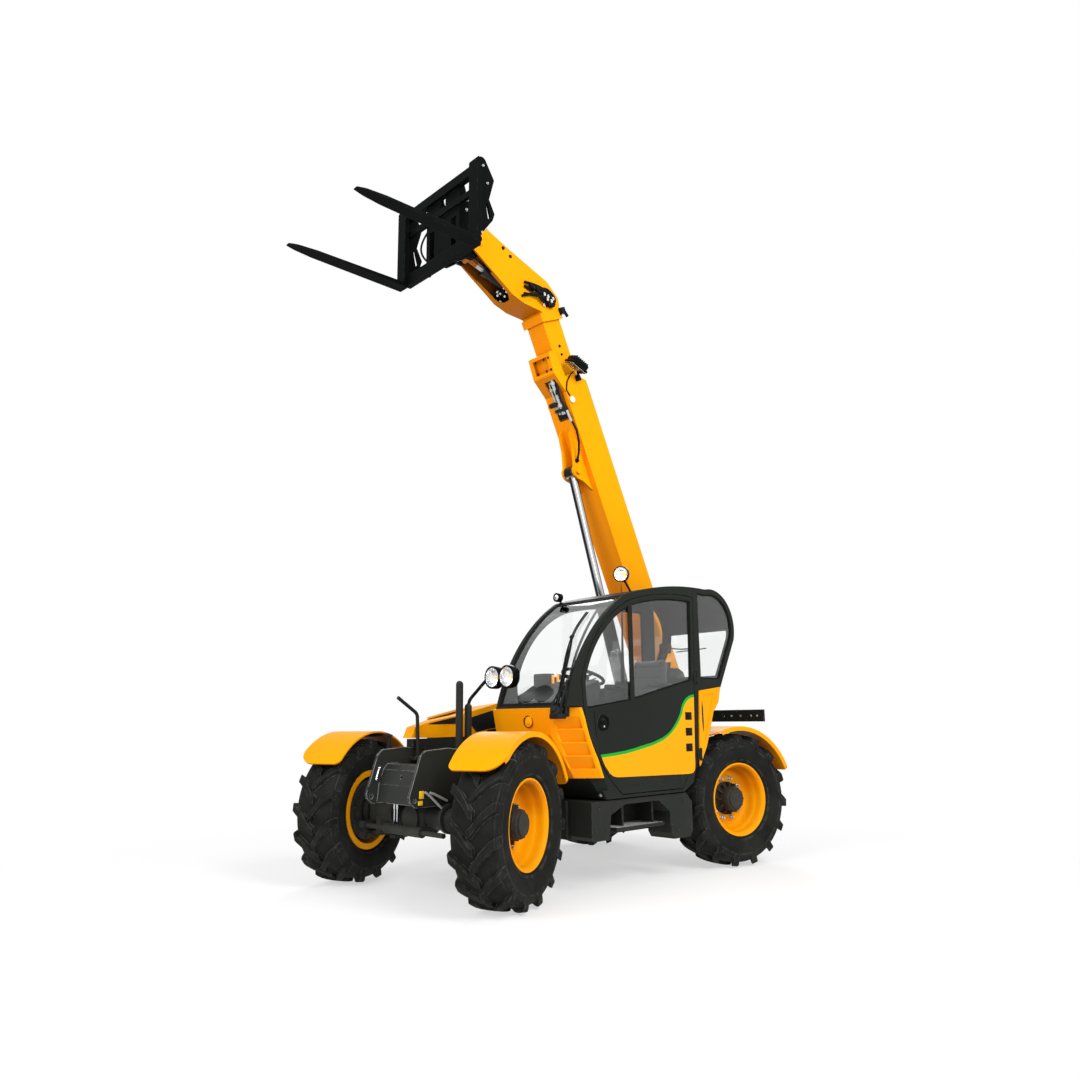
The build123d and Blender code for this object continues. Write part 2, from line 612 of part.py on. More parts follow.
# ---- boom ---------------------------------------------------------------------
def tube_box(x0, x1, width, under, top, wall):
    """Square boom tube with a hollow middle."""
    return (block(x0, x1, -width / 2, width / 2, under, top)
            - block(x0 - 1, x1 + 1, -width / 2 + wall, width / 2 - wall, under + wall, top - wall))


half_boom = boom_width / 2
outer_tube = tube_box(60, boom_mouth, boom_width, boom_under, boom_top, boom_wall)
foot_plates = pair([
    (-60, 150), (-130, 60), (-130, -60), (-60, -150), (120, boom_under), (120, boom_top),
], half_boom - 28, half_boom)
foot_bush = pin(0, 0, -half_boom, half_boom, 70)
closing = block(120, 135, -half_boom, half_boom, boom_under, boom_top)

# the mouth: cheeks drawn out below into a chin that holds the lower wear pad
cheeks = pair([
    (3180, boom_top), (3255, boom_top), (3338, 84), (3366, -18), (3352, -88), (3470, -104), (chin_end, -128),
    (3620, -226), (3410, -242), (3200, boom_under), (3180, boom_under),
], half_boom - boom_wall, half_boom)
chin_plates = [
    slab([(3200, boom_under), (3410, -242), (3420, -230), (3206, boom_under + 12)], -half_boom, half_boom),
    slab([(3410, -242), (3620, -226), (3619, -214), (3410, -230)], -half_boom, half_boom),
    slab([(3620, -226), (chin_end, -150), (chin_end - 14, -150), (3606, -226)], -half_boom, half_boom),
    slab([(3395, -240), (3409, -240), (3409, -150), (3395, -150)], -half_boom, half_boom),
]
chin_window = block(3440, 3585, -100, 100, -260, -200)
chin_plates[1] = chin_plates[1] - chin_window
pads = [block(3200, 3250, -half_boom + boom_wall, half_boom - boom_wall, inner_top + 6, boom_top - boom_wall)]
for side in (1, -1):
    rows = sorted((side * (inner_width / 2 + 6), side * (half_boom - boom_wall)))
    pads.append(block(3190, 3250, rows[0], rows[1], -60, 60))
pads.append(block(3425, 3600, -half_boom + 5, half_boom - 5, -172, -156))
pads.append(block(3440, 3590, -90, 90, -156, inner_under - 6))
pin_heads = [pin(3108, -113, y, y + 16, 24) for y in (half_boom - 2, -half_boom - 14)]
hose_window = block(2930, 3350, -50, 105, -262, boom_under + boom_wall + 5)

eye_plates = pair([
    (2170, boom_under), (2300, -262), (2340, -318), (2375, -343), (2410, -351), (2445, -343), (2475, -310),
    (2640, -250), (2800, -222), (2850, boom_under),
], 60, 85)
outer_boom = fuse([outer_tube, foot_bush, closing] + foot_plates + cheeks + chin_plates + pads
                  + eye_plates + pin_heads)
outer_boom = outer_boom - pin(0, 0, -300, 300, 45) - hose_window
for y in (55, -110):
    outer_boom = outer_boom + pin(lift_eye[0], lift_eye[1], y, y + 55, 34)
keep("outer_boom", on_boom(outer_boom))

lamp_foot = block(3270, 3330, half_boom, half_boom + 12, 40, 120)
lamp_arm = bar((3300, half_boom + 14, 80), (3372, half_boom + 92, 60), 13)
lamp_drum = Cylinder(88, 64) + Pos(0, 0, -46) * Cone(52, 88, 36) - Pos(0, 0, 32) * Cylinder(80, 10)
lamp_body = Pos(3432, half_boom + 100, 10) * Rot(0, 62, 0) * lamp_drum
boom_lamp = fuse([lamp_foot, lamp_arm, lamp_body])
keep("boom_lamp", on_boom(boom_lamp))

# hydraulic pipes and hoses: steel pipes in the window under the boom, a hose to the lifting eye, a lamp lead
manifold = block(2945, 3015, -42, 98, -176, boom_under + boom_wall)
pipes = [
    tube_run([(3000, 10, -162), (3180, 6, -190), (3330, 30, -212), (3345, 32, -190)], 10, 30),
    tube_run([(3000, 62, -162), (3160, 66, -186), (3300, 78, -206), (3345, 80, -190)], 10, 30),
]
hose = tube_run([(2990, 90, -168), (2900, 128, -186), (2800, 162, -200), (2680, 162, -222), (2570, 134, -250),
                 (2510, 100, -262)], 11, 60)
lead = tube_run([(3392, half_boom + 70, 30), (3352, half_boom + 26, -40), (3290, half_boom + 8, -105),
                 (3215, half_boom + 8, -150), (3150, half_boom + 8, -126)], 7, 26) - boom_lamp
eye_union = pin(2510, -262, 85, 108, 20)
keep("boom_hoses", [on_boom(fuse([manifold] + pipes + [hose, eye_union])), on_boom(lead)])

inner_tube = tube_box(700, 4000, inner_width, inner_under, inner_top, inner_wall)
keep("inner_boom", on_boom(inner_tube))

head_outline = [
    (4000, -120), (4000, 128), (4068, 168), (4134, 177), (4313, 92), (4676, -305), (4884, -513), (4925, -590),
    (4925, -680), (4880, -760), (4800, -795), (4700, -765), (4545, -662), (4350, -528), (4235, -452), (4130, -325),
    (4032, -128),
]
head_inner = [
    (4014, -112), (4014, 116), (4074, 151), (4130, 158), (4303, 78), (4663, -317), (4872, -526), (4990, -580),
    (5010, -900), (4796, -814), (4709, -783), (4555, -678), (4344, -508), (4246, -438), (4146, -318), (4050, -118),
]
inner_half = head_half - head_wall
head = slab(head_outline, -head_half, head_half) - slab(head_inner, -inner_half, inner_half)
slot_face = make_face(Wire([
    Line((4290, -100, 0), (5100, -100, 0)), Line((5100, -100, 0), (5100, 100, 0)),
    Line((5100, 100, 0), (4290, 100, 0)),
    ThreePointArc((4290, 100, 0), (4232, 76, 0), (4210, 20, 0)), Line((4210, 20, 0), (4210, -20, 0)),
    ThreePointArc((4210, -20, 0), (4232, -76, 0), (4290, -100, 0)),
]))
slot = Pos(0, 0, -1100) * extrude(slot_face, amount=760, dir=(0, 0, 1))
head = head - slot
neck = tube_box(3925, 4010, 2 * head_half, inner_under - 28, inner_top + 28, 28)
pivot_boss = [pin(head_pivot[0], head_pivot[1], y, y + 30, 75) for y in (-head_half - 8, head_half - 22)]
head = fuse([head, neck] + pivot_boss)
head = head - pin(head_pivot[0], head_pivot[1], -200, 200, 32)
base_ears = [slab([(4150, -130), (4160, -240), (4226, -275), (4290, -240), (4300, -60), (4150, 40)], y, y + 20)
             for y in (66, -86)]
base_pin = pin(tilt_base[0], tilt_base[1], -90, 90, 24.5)
tie_plate = block(4150, 4300, -inner_half, inner_half, 20, 40)
head = fuse([head] + base_ears + [tie_plate, base_pin])
keep("boom_head", on_boom(head))

face_y = head_half
valve = block(4060, 4150, face_y, face_y + 46, -40, 62)
valve = valve + block(4100, 4130, face_y, face_y + 30, 55, 100)
couplers = [bar((x, face_y + 23, z), (x + 62, face_y + 23, z - 70), 15) for x, z in ((4128, -20), (4140, 26))]
loops = [
    tube_run([(4150, face_y + 34, 30), (4215, face_y + 46, 30), (4262, face_y + 30, -90), (4236, face_y + 16, -190),
              (4292, face_y + 12, -262)], 10, 24),
    tube_run([(4172, face_y + 24, -80), (4206, face_y + 34, -130), (4202, face_y + 26, -212),
              (4232, face_y + 12, -300)], 10, 24),
    tube_run([(4168, face_y + 24, -50), (4240, face_y + 44, -70), (4300, face_y + 30, -160),
              (4330, face_y + 12, -200)], 9, 24),
]
clip = block(3962, 4030, face_y, face_y + 34, 128, 196)
clip = clip + bar((3996, face_y + 17, 190), (3930, face_y + 17, 214), 16)
keep("head_hoses", [on_boom(fuse([valve] + couplers + loops)), on_boom(clip)])

# ---- cylinders ------------------------------------------------------------------
lift_eye_x, lift_eye_z = boom_point(*lift_eye)
lift_base = (lift_base_x, 0, lift_base_z)
lift_tip = (lift_eye_x, 0, lift_eye_z)


def between(start, end, amount):
    """A point a distance along the line from start to end."""
    a, b = Vector(*start), Vector(*end)
    p = a + (b - a).normalized() * amount
    return (p.X, p.Y, p.Z)


def cylinder_parts(start, end, barrel_length, bore, rod, eye, base_width, tip_width, bush, head_gap):
    """Barrel from its base eye, and a rod that ends in an eye."""
    span = (Vector(*end) - Vector(*start)).length
    barrel = bar(between(start, end, eye * 0.8), between(start, end, barrel_length), bore)
    gland = bar(between(start, end, barrel_length - 60), between(start, end, barrel_length), bore + 9)
    base = pin(start[0], start[2], -base_width / 2, base_width / 2, eye)
    barrel = fuse([barrel, gland, base])
    cavity = bar(between(start, end, eye + 40), between(start, end, barrel_length + 10), rod + 1.0)
    barrel = barrel - cavity - pin(start[0], start[2], -base_width, base_width, bush)
    shaft = bar(between(start, end, head_gap), between(start, end, span - eye * 0.7), rod)
    tip = pin(end[0], end[2], -tip_width / 2, tip_width / 2, eye)
    rod_part = (shaft + tip) - pin(end[0], end[2], -tip_width, tip_width, bush)
    return barrel, rod_part


lift_barrel, lift_rod = cylinder_parts(lift_base, lift_tip, 1780, 70, 45, 62, 160, 100, 32.5, 1250)
keep("lift_barrel", lift_barrel)
keep("lift_rod", lift_rod)

tilt_base_x, tilt_base_z = boom_point(*tilt_base)
tilt_eye_x, tilt_eye_z = boom_point(*tilt_eye)
tilt_barrel, tilt_rod = cylinder_parts((tilt_base_x, 0, tilt_base_z), (tilt_eye_x, 0, tilt_eye_z),
                                       500, 48, 27, 42, 120, 84, 25.5, 330)
keep("tilt_barrel", tilt_barrel)
keep("tilt_rod", tilt_rod)

# ---- fork carriage ----------------------------------------------------------------
pivot_x, pivot_z = boom_point(*head_pivot)
back_x = pivot_x + carriage_reach          # back of the forks
web_x = back_x - 60
lug_outline = [(pivot_x + dx, pivot_z + dz) for dx, dz in (
    (-60, 45), (0, 76), (120, 118), (carriage_reach - 60, 215), (carriage_reach - 60, -300), (200, -290),
    (90, -206), (30, -204), (-15, -170), (-66, -30))]
carriage_lugs = pair(lug_outline, 52, 92)
web = block(web_x, web_x + 22, -250, 250, 5455, 6190)
web = web - block(web_x - 5, web_x + 30, -40, 40, 6060, 6150)
ribs = pair([
    (web_x - 95, 5600), (web_x - 95, 6020), (web_x - 30, 6215), (web_x + 22, 6215), (web_x + 22, 5455),
    (web_x - 20, 5455),
], 232, 252)
lintel = block(web_x, back_x, -fork_half + 15, fork_half - 15, 6150, 6240)
cross_bars = [
    lintel,
    block(web_x + 8, back_x - 12, -fork_half + 15, fork_half - 15, 5965, 6020),
    block(web_x, back_x, -fork_half + 15, fork_half - 15, 5445, 5555),
]
hooks = pair([(web_x - 80, 6130), (web_x - 80, 6200), (web_x - 40, 6265), (web_x + 10, 6265), (web_x + 10, 6130)],
             120, 140)
end_outline = Wire([
    Line((back_x, 0, 5445), (back_x, 0, 6262)),
    ThreePointArc((back_x, 0, 6262), (back_x - 42, 0, 6296), (back_x - 92, 0, 6268)),
    Line((back_x - 92, 0, 6268), (back_x - 186, 0, 6120)),
    ThreePointArc((back_x - 186, 0, 6120), (back_x - 150, 0, 5985), (back_x - 128, 0, 5905)),
    Line((back_x - 128, 0, 5905), (back_x - 192, 0, 5785)), Line((back_x - 192, 0, 5785), (back_x - 170, 0, 5715)),
    Line((back_x - 170, 0, 5715), (back_x - 60, 0, 5560)), Line((back_x - 60, 0, 5560), (back_x, 0, 5445)),
])
end_face = make_face(end_outline)
end_plates = []
for y in (fork_half - 15, -fork_half - 15):
    plate = across(end_face, y, y + 30)
    plate = plate - slab([(back_x - 150, 5745), (back_x - 118, 5700), (back_x - 88, 5850), (back_x - 112, 5870)],
                         y - 5, y + 35)
    for x, z in ((back_x - 60, 6215), (back_x - 110, 6060)):
        plate = plate - pin(x, z, y - 5, y + 35, 14)
    end_plates.append(plate)
lock_bar = pin(web_x - 48, 5700, -234, 234, 24) + pin(web_x - 48, 5700, -150, 150, 34)
lock_ends = [pin(web_x - 48, 5700, y, y + 24, 46) for y in (228, -252)]
windows = pair([(web_x - 5, 5600), (web_x - 5, 5880), (web_x + 30, 5880), (web_x + 30, 5600)], 128, 205)
for window in windows:
    web = web - window
tilt_pins = [pin(tilt_eye_x, tilt_eye_z, y, y + 55, 24.5) for y in (47, -102)]
carriage = fuse([web] + ribs + cross_bars + hooks + end_plates + carriage_lugs + [lock_bar] + lock_ends
                + [pin(pivot_x, pivot_z, -head_half - 12, head_half + 12, 31)] + tilt_pins)
keep("fork_carriage", carriage)

tip_x = back_x + fork_length
fork_side = [
    (back_x, fork_heel), (back_x, fork_top - 25), (back_x + 14, fork_top), (back_x + 34, fork_top),
    (back_x + fork_thick, fork_top - 20), (back_x + fork_thick, fork_heel + fork_thick + 18),
    (back_x + fork_thick + 18, fork_heel + fork_thick), (tip_x - 60, fork_heel + 16), (tip_x, fork_heel + 9),
    (tip_x, fork_heel),
]
fork_pair = []
for side in (1, -1):
    middle, half = side * fork_half, fork_width / 2
    fork = slab(fork_side, middle - half, middle + half)
    for way in (1, -1):
        taper = [(tip_x - 260, half), (tip_x - 90, half - 16), (tip_x, 22), (tip_x + 5, 80), (tip_x - 260, 80)]
        cut = make_face(Polyline(*[(x, middle + way * y, fork_heel - 20) for x, y in taper], close=True))
        fork = fork - extrude(cut, amount=100, dir=(0, 0, 1))
    fork_pair.append(fork)
keep("forks", fork_pair)

# ---- write the sub-parts ------------------------------------------------------------
os.makedirs("parts", exist_ok=True)
for name, shape in nodes.items():
    export_step(shape, "parts/" + name + ".step")
whole = Compound(children=list(nodes.values())).bounding_box()
print("nodes", len(nodes), "box", whole.min, whole.max)
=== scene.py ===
import math
import bmesh
import bpy
from mathutils import Euler, Matrix, Vector


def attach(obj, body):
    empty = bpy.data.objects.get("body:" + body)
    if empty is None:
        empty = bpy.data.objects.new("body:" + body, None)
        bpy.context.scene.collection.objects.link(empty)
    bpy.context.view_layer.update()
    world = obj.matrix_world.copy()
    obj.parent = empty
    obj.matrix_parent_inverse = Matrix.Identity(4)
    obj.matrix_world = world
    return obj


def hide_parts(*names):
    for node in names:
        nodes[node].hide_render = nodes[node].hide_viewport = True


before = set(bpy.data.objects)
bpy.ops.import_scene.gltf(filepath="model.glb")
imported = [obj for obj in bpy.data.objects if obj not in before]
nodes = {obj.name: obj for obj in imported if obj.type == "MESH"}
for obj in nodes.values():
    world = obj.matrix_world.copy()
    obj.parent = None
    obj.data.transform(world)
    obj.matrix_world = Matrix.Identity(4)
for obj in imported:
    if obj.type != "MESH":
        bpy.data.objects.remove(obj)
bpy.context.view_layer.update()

bpy.ops.object.select_all(action='DESELECT')
setBack = -0.206          # the part's origin, from the middle of the wheelbase


# ---- modelling helpers ----
def choose(obj):
    bpy.ops.object.select_all(action='DESELECT')
    obj.select_set(True)
    bpy.context.view_layer.objects.active = obj


def editing(obj):
    choose(obj)
    bpy.ops.object.mode_set(mode='EDIT')
    bpy.ops.mesh.select_mode(type='VERT')
    return bmesh.from_edit_mesh(obj.data)


def leaveEdit():
    bpy.ops.object.mode_set(mode='OBJECT')


def settle(obj, matrix=None):
    # the piece's place goes into its mesh
    if matrix is not None:
        obj.matrix_world = matrix @ obj.matrix_world
    choose(obj)
    bpy.ops.object.transform_apply(location=True, rotation=True, scale=True)
    return obj


def shaped(obj, kind, **settings):
    # a modifier, set and applied
    extra = obj.modifiers.new("extra", kind)
    for key, value in settings.items():
        setattr(extra, key, value)
    choose(obj)
    bpy.ops.object.modifier_apply(modifier=extra.name)


def tidyMesh(obj, angle=32):
    editing(obj)
    bpy.ops.mesh.select_all(action='SELECT')
    bpy.ops.mesh.remove_doubles(threshold=0.00005)
    bpy.ops.mesh.normals_make_consistent(inside=False)
    leaveEdit()
    bpy.ops.object.shade_smooth_by_angle(angle=math.radians(angle))
    return obj


def lofted(name, sections, closed=False, angle=32):
    # a flat start, pulled on section by section; closed joins the last section to the first
    count = len(sections[0])
    bpy.ops.mesh.primitive_circle_add(vertices=count, radius=1, fill_type='NOTHING' if closed else 'NGON')
    obj = bpy.context.active_object
    obj.name = name
    for vert, place in zip(obj.data.vertices, sections[0]):
        vert.co = place
    mesh = editing(obj)
    mesh.verts.ensure_lookup_table()
    held = list(mesh.verts)
    rest = sections[1:] + ([sections[0]] if closed else [])
    for section in rest:
        old = [v.co.copy() for v in held]
        bpy.ops.mesh.extrude_region_move()
        mesh = bmesh.from_edit_mesh(obj.data)
        fresh = [v for v in mesh.verts if v.select]
        order = []
        for place in old:
            best = min(fresh, key=lambda v: (v.co - place).length_squared)
            fresh.remove(best)
            order.append(best)
        for vert, place in zip(order, section):
            vert.co = place
        held = order
        bmesh.update_edit_mesh(obj.data)
    leaveEdit()
    return tidyMesh(obj, angle)


def turned(name, rings, sides=48, closed=False, angle=32):
    # rings of (radius, height) about local Z
    sections = []
    for radius, height in rings:
        sections.append([(radius * math.cos(2 * math.pi * i / sides), radius * math.sin(2 * math.pi * i / sides),
                          height) for i in range(sides)])
    return lofted(name, sections, closed, angle)


def facing(at, towards, spin=0.0):
    # a matrix that stands local Z along a direction at a place
    quat = Vector(towards).normalized().to_track_quat('Z', 'Y')
    return Matrix.Translation(at) @ quat.to_matrix().to_4x4() @ Matrix.Rotation(spin, 4, 'Z')


def boxed(name, low, high, round=0.003, segments=2):
    size = [b - a for a, b in zip(low, high)]
    bpy.ops.mesh.primitive_cube_add(size=1, location=[(a + b) / 2 for a, b in zip(low, high)])
    obj = bpy.context.active_object
    obj.name = name
    obj.scale = size
    settle(obj)
    shaped(obj, 'BEVEL', width=min(round, min(size) * 0.45), segments=segments)
    bpy.ops.object.shade_smooth_by_angle(angle=math.radians(32))
    return obj


def plated(name, outline, thick, matrix, round=0.0015):
    # a flat plate from an outline in local XY, thickened upwards
    obj = lofted(name, [[(x, y, 0) for x, y in outline], [(x, y, thick) for x, y in outline]])
    if round:
        shaped(obj, 'BEVEL', width=round, segments=2, limit_method='ANGLE')
    return settle(obj, matrix)


def piped(name, points, radius, sides=10, soft=True):
    # a round tube along a soft path
    bpy.ops.curve.primitive_nurbs_path_add()
    obj = bpy.context.active_object
    obj.name = name
    curve = obj.data
    curve.splines.clear()
    path = curve.splines.new('NURBS')
    path.points.add(len(points) - 1)
    for point, place in zip(path.points, points):
        point.co = (*place, 1)
    path.order_u = 3 if soft else 2
    path.use_endpoint_u = True
    curve.bevel_depth, curve.bevel_resolution = radius, max(1, sides // 4 - 1)
    curve.resolution_u = 6
    curve.use_fill_caps = True
    choose(obj)
    bpy.ops.object.convert(target='MESH')
    bpy.ops.object.shade_smooth_by_angle(angle=math.radians(40))
    return obj


def moved(points):
    # from the middle of the wheelbase to the part's own origin
    return [(x + setBack, y, z) for x, y, z in points]


def sideOutline(points):
    # (x, z) points of a side view, in a plate's own plane
    return [(x + setBack, -z) for x, z in points]


def joined(name, parts):
    bpy.ops.object.select_all(action='DESELECT')
    for part in parts:
        part.select_set(True)
    bpy.context.view_layer.objects.active = parts[0]
    if len(parts) > 1:
        bpy.ops.object.join()
    parts[0].name = name
    parts[0].data.name = name
    return parts[0]


def copied(obj, name, matrix):
    twin = obj.copy()
    twin.data = obj.data.copy()
    twin.name = name
    bpy.context.collection.objects.link(twin)
    return settle(twin, matrix)


def finished(obj, material, body, stands=None):
    obj.data.materials.clear()
    obj.data.materials.append(material)
    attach(obj, body)
    if stands:
        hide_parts(*stands)
    return obj

# ---- shader helpers ----
class Tree:
    # adds nodes to a material's or a group's tree; a value may be a number, a colour or another node's socket
    def __init__(self, tree):
        self.tree = tree

    def fill(self, node, values):
        for key, value in (values or {}).items():
            if isinstance(value, bpy.types.NodeSocket):
                self.tree.links.new(value, node.inputs[key])
            else:
                node.inputs[key].default_value = value
        return node

    def add(self, kind, values=None, **settings):
        node = self.tree.nodes.new("ShaderNode" + kind)
        for key, value in settings.items():
            setattr(node, key, value)
        return self.fill(node, values)

    def place(self, shared, values=None):
        node = self.tree.nodes.new("ShaderNodeGroup")
        node.node_tree = shared
        return self.fill(node, values).outputs

    def coords(self, kind="Object"):
        return self.add("TexCoord").outputs[kind]

    def maths(self, kind, a, b=None, clamp=False):
        values = {0: a} if b is None else {0: a, 1: b}
        return self.add("Math", values, operation=kind, use_clamp=clamp).outputs[0]

    def blend(self, share, a, b):
        return self.add("Mix", {0: share, 6: a, 7: b}, data_type='RGBA').outputs[2]

    def ranged(self, value, low, high, first=0.0, last=1.0):
        return self.add("MapRange", {0: value, 1: low, 2: high, 3: first, 4: last}).outputs[0]

    def noise(self, place, scale, detail=3.0, rough=0.5):
        return self.add("TexNoise", {"Vector": place, "Scale": scale, "Detail": detail, "Roughness": rough}).outputs[0]


def shaderGroup(name, inputs, outputs):
    tree = bpy.data.node_groups.new(name, 'ShaderNodeTree')
    for label, value in inputs.items():
        tree.interface.new_socket(label, in_out='INPUT', socket_type='NodeSocketFloat').default_value = value
    for label, kind in outputs.items():
        tree.interface.new_socket(label, in_out='OUTPUT', socket_type=kind)
    start, end = tree.nodes.new("NodeGroupInput"), tree.nodes.new("NodeGroupOutput")
    return tree, Tree(tree), start.outputs, end.inputs


def send(nt, pairs):
    for source, target in pairs:
        nt.tree.links.new(source, target)


# rounded edges, and a mask of where they are worn
edgeWear, nt, given, out = shaderGroup("edgeWear", {"Radius": 0.004, "Amount": 1.0},
                                       {"Mask": 'NodeSocketFloat', "Normal": 'NodeSocketVector'})
place = nt.coords()
rounded = nt.add("Bevel", {"Radius": given["Radius"]}, samples=4).outputs[0]
flat = nt.add("NewGeometry").outputs["True Normal"]
bend = nt.add("VectorMath", {0: rounded, 1: flat}, operation='DOT_PRODUCT').outputs["Value"]
edge = nt.ranged(bend, 0.995, 0.86)
patchy = nt.ranged(nt.noise(place, 14.0, 5.0, 0.65), 0.42, 0.62)
send(nt, [(nt.maths('MULTIPLY', nt.maths('MULTIPLY', edge, patchy), given["Amount"], True), out["Mask"]),
          (rounded, out["Normal"])])

# dust that lies thicker low down and in patches
dust, nt, given, out = shaderGroup("dust", {"Low": 0.0, "High": 1.6, "Scale": 3.0, "Amount": 0.4},
                                   {"Mask": 'NodeSocketFloat'})
place = nt.coords()
height = nt.add("SeparateXYZ", {0: place}).outputs[2]
lowDown = nt.ranged(height, given["Low"], given["High"], 1.0, 0.15)
cloud = nt.ranged(nt.noise(place, given["Scale"], 6.0, 0.62), 0.36, 0.7)
send(nt, [(nt.maths('MULTIPLY', nt.maths('MULTIPLY', lowDown, cloud), given["Amount"], True), out["Mask"])])

# fine surface grain as a height, and a slow drift of tone
grain, nt, given, out = shaderGroup("grain", {"Scale": 300.0, "Drift": 1.2},
                                    {"Height": 'NodeSocketFloat', "Tone": 'NodeSocketFloat'})
place = nt.coords()
send(nt, [(nt.noise(place, given["Scale"], 2.0, 0.5), out["Height"]),
          (nt.noise(place, given["Drift"], 3.0, 0.55), out["Tone"])])


def material(name):
    made = bpy.data.materials.new(name)
    made.use_nodes = True
    made.node_tree.nodes.clear()
    nt = Tree(made.node_tree)
    surface = nt.add("BsdfPrincipled")
    end = nt.add("OutputMaterial", {"Surface": surface.outputs[0]})
    return made, nt, surface, end


def painted(name, colour, worn, rough=0.35, wear=0.6, dirt=0.25, bump=0.04, radius=0.005,
            grainScale=260.0, metal=0.0, mend=None, shine=0.25):
    # paint on metal: tone drift, worn edges, dust, an orange-peel bump
    made, nt, surface, end = material(name)
    edges = nt.place(edgeWear, {"Radius": radius, "Amount": wear})
    skin = nt.place(grain, {"Scale": grainScale})
    dirty = nt.place(dust, {"Amount": dirt})[0]
    deep = tuple(c * 0.9 for c in colour[:3]) + (1,)
    tone = nt.blend(nt.ranged(skin[1], 0.35, 0.65), deep, colour)
    if mend:
        tone = mend(nt, tone)
    tone = nt.blend(edges[0], tone, worn)
    tone = nt.blend(dirty, tone, (0.2, 0.17, 0.13, 1))
    roughness = nt.maths('ADD', nt.ranged(skin[1], 0.3, 0.7, rough - 0.05, rough + 0.07),
                         nt.maths('MULTIPLY', dirty, 0.3), True)
    relief = nt.add("Bump", {"Strength": bump, "Distance": 0.001, "Height": skin[0], "Normal": edges[1]})
    nt.fill(surface, {"Base Color": tone, "Roughness": roughness, "Normal": relief.outputs[0], "Metallic": metal,
                      "Specular IOR Level": shine})
    return made


def shadedBelow(nt, tone):
    # painted shade: the paint is darker and a deeper orange where it faces the ground
    down = nt.add("SeparateXYZ", {0: nt.coords("Normal")}).outputs[2]
    tone = nt.blend(nt.ranged(down, -0.1, -0.4), tone, (0.80, 0.25, 0.001, 1))
    return nt.blend(nt.ranged(down, -0.5, -0.9), tone, (0.42, 0.125, 0.001, 1))


def shadedInside(nt, tone):
    # painted shade on the faces between the head's side plates: brown in the upper part of the slot and black at its
    # lower end
    spot = nt.add("TexCoord").outputs

    def measured(source, direction):
        return nt.add("VectorMath", {0: spot[source], 1: direction}, operation='DOT_PRODUCT').outputs["Value"]

    inner = nt.maths('LESS_THAN', nt.maths('ABSOLUTE', measured("Object", (0, 1, 0))), 0.1222)
    for value, test, limit in ((measured("Normal", (-0.9085, 0, 0.4179)), 'LESS_THAN', 0.3),
                               (measured("Object", (-0.4418, 0, 0.8971)), 'GREATER_THAN', 4.697),
                               (measured("Normal", (0.4179, 0, 0.9085)), 'GREATER_THAN', -0.82),
                               (measured("Object", (0.4179, 0, 0.9085)), 'GREATER_THAN', 4.85)):
        inner = nt.maths('MULTIPLY', inner, nt.maths(test, value, limit))
    slotShade = nt.blend(nt.ranged(measured("Object", (0.4179, 0, 0.9085)), 5.10, 5.24), (0.010, 0.008, 0.006, 1),
                    (0.20, 0.055, 0.003, 1))
    return nt.blend(inner, shadedBelow(nt, tone), slotShade)


amber = (0.94, 0.36, 0.0005, 1)
charcoal = (0.0145, 0.0172, 0.0145, 1)
# its faces turned to the ground carry painted shade
yellowPaint = painted("yellowPaint", amber, (0.70, 0.26, 0.01, 1), 0.36, 0.3, 0.05, mend=shadedBelow, shine=0.045)
# the head carries painted shade underneath and between its side plates
headPaint = painted("headPaint", amber, (0.70, 0.26, 0.01, 1), 0.36, 0.3, 0.05, mend=shadedInside, shine=0.045)
chassisPaint = painted("chassisPaint", (0.0145, 0.0165, 0.0142, 1), (0.12, 0.125, 0.115, 1), 0.5, 1.2, 0.06, 0.08,
                       0.006, shine=0.12)
# its light worn colour lies thickly along every edge, as wear and as a painted highlight on the plates' edges
nosePaint = painted("nosePaint", (0.0175, 0.0198, 0.017, 1), (0.30, 0.31, 0.29, 1), 0.45, 7.0, 0.08, 0.08, 0.009,
                    shine=0.16)
cabPaint = painted("cabPaint", charcoal, (0.07, 0.078, 0.073, 1), 0.46, 0.6, 0.04, shine=0.05)
forkSteel = painted("forkSteel", (0.0028, 0.0034, 0.0034, 1), (0.05, 0.05, 0.048, 1), 0.5, 0.8, 0.02, 0.12, 0.006,
                    shine=0.02)
casting = painted("casting", (0.024, 0.025, 0.0225, 1), (0.085, 0.085, 0.08, 1), 0.6, 0.9, 0.12, 0.5, 0.006,
                  120.0, shine=0.12)
cylinderPaint = painted("cylinderPaint", (0.016, 0.018, 0.018, 1), (0.10, 0.10, 0.095, 1), 0.4, 0.6, 0.04)
blackPlastic = painted("blackPlastic", (0.011, 0.012, 0.0125, 1), (0.035, 0.035, 0.035, 1), 0.55, 0.4, 0.04, 0.4,
                       0.003, 700.0, shine=0.12)
glossBlack = painted("glossBlack", (0.003, 0.0035, 0.0035, 1), (0.03, 0.03, 0.03, 1), 0.22, 0.2, 0.01, 0.02, 0.002,
                     shine=0.05)
zinc = painted("zinc", (0.55, 0.55, 0.53, 1), (0.75, 0.75, 0.74, 1), 0.32, 0.5, 0.08, 0.05, 0.002, metal=1.0)
chrome = painted("chrome", (0.72, 0.74, 0.76, 1), (0.8, 0.8, 0.8, 1), 0.12, 0.1, 0.01, 0.01, 0.002, metal=1.0)


def greasyEye(nt, tone):
    # the tilt rod's eye is a rough painted casting, the rest is polished
    gap = nt.add("VectorMath", {0: nt.coords(), 1: (0.8346, 0.0, 5.6504)}, operation='DISTANCE')
    return nt.blend(nt.ranged(gap.outputs["Value"], 0.13, 0.12), darkSide(nt, tone), (0.40, 0.12, 0.004, 1))


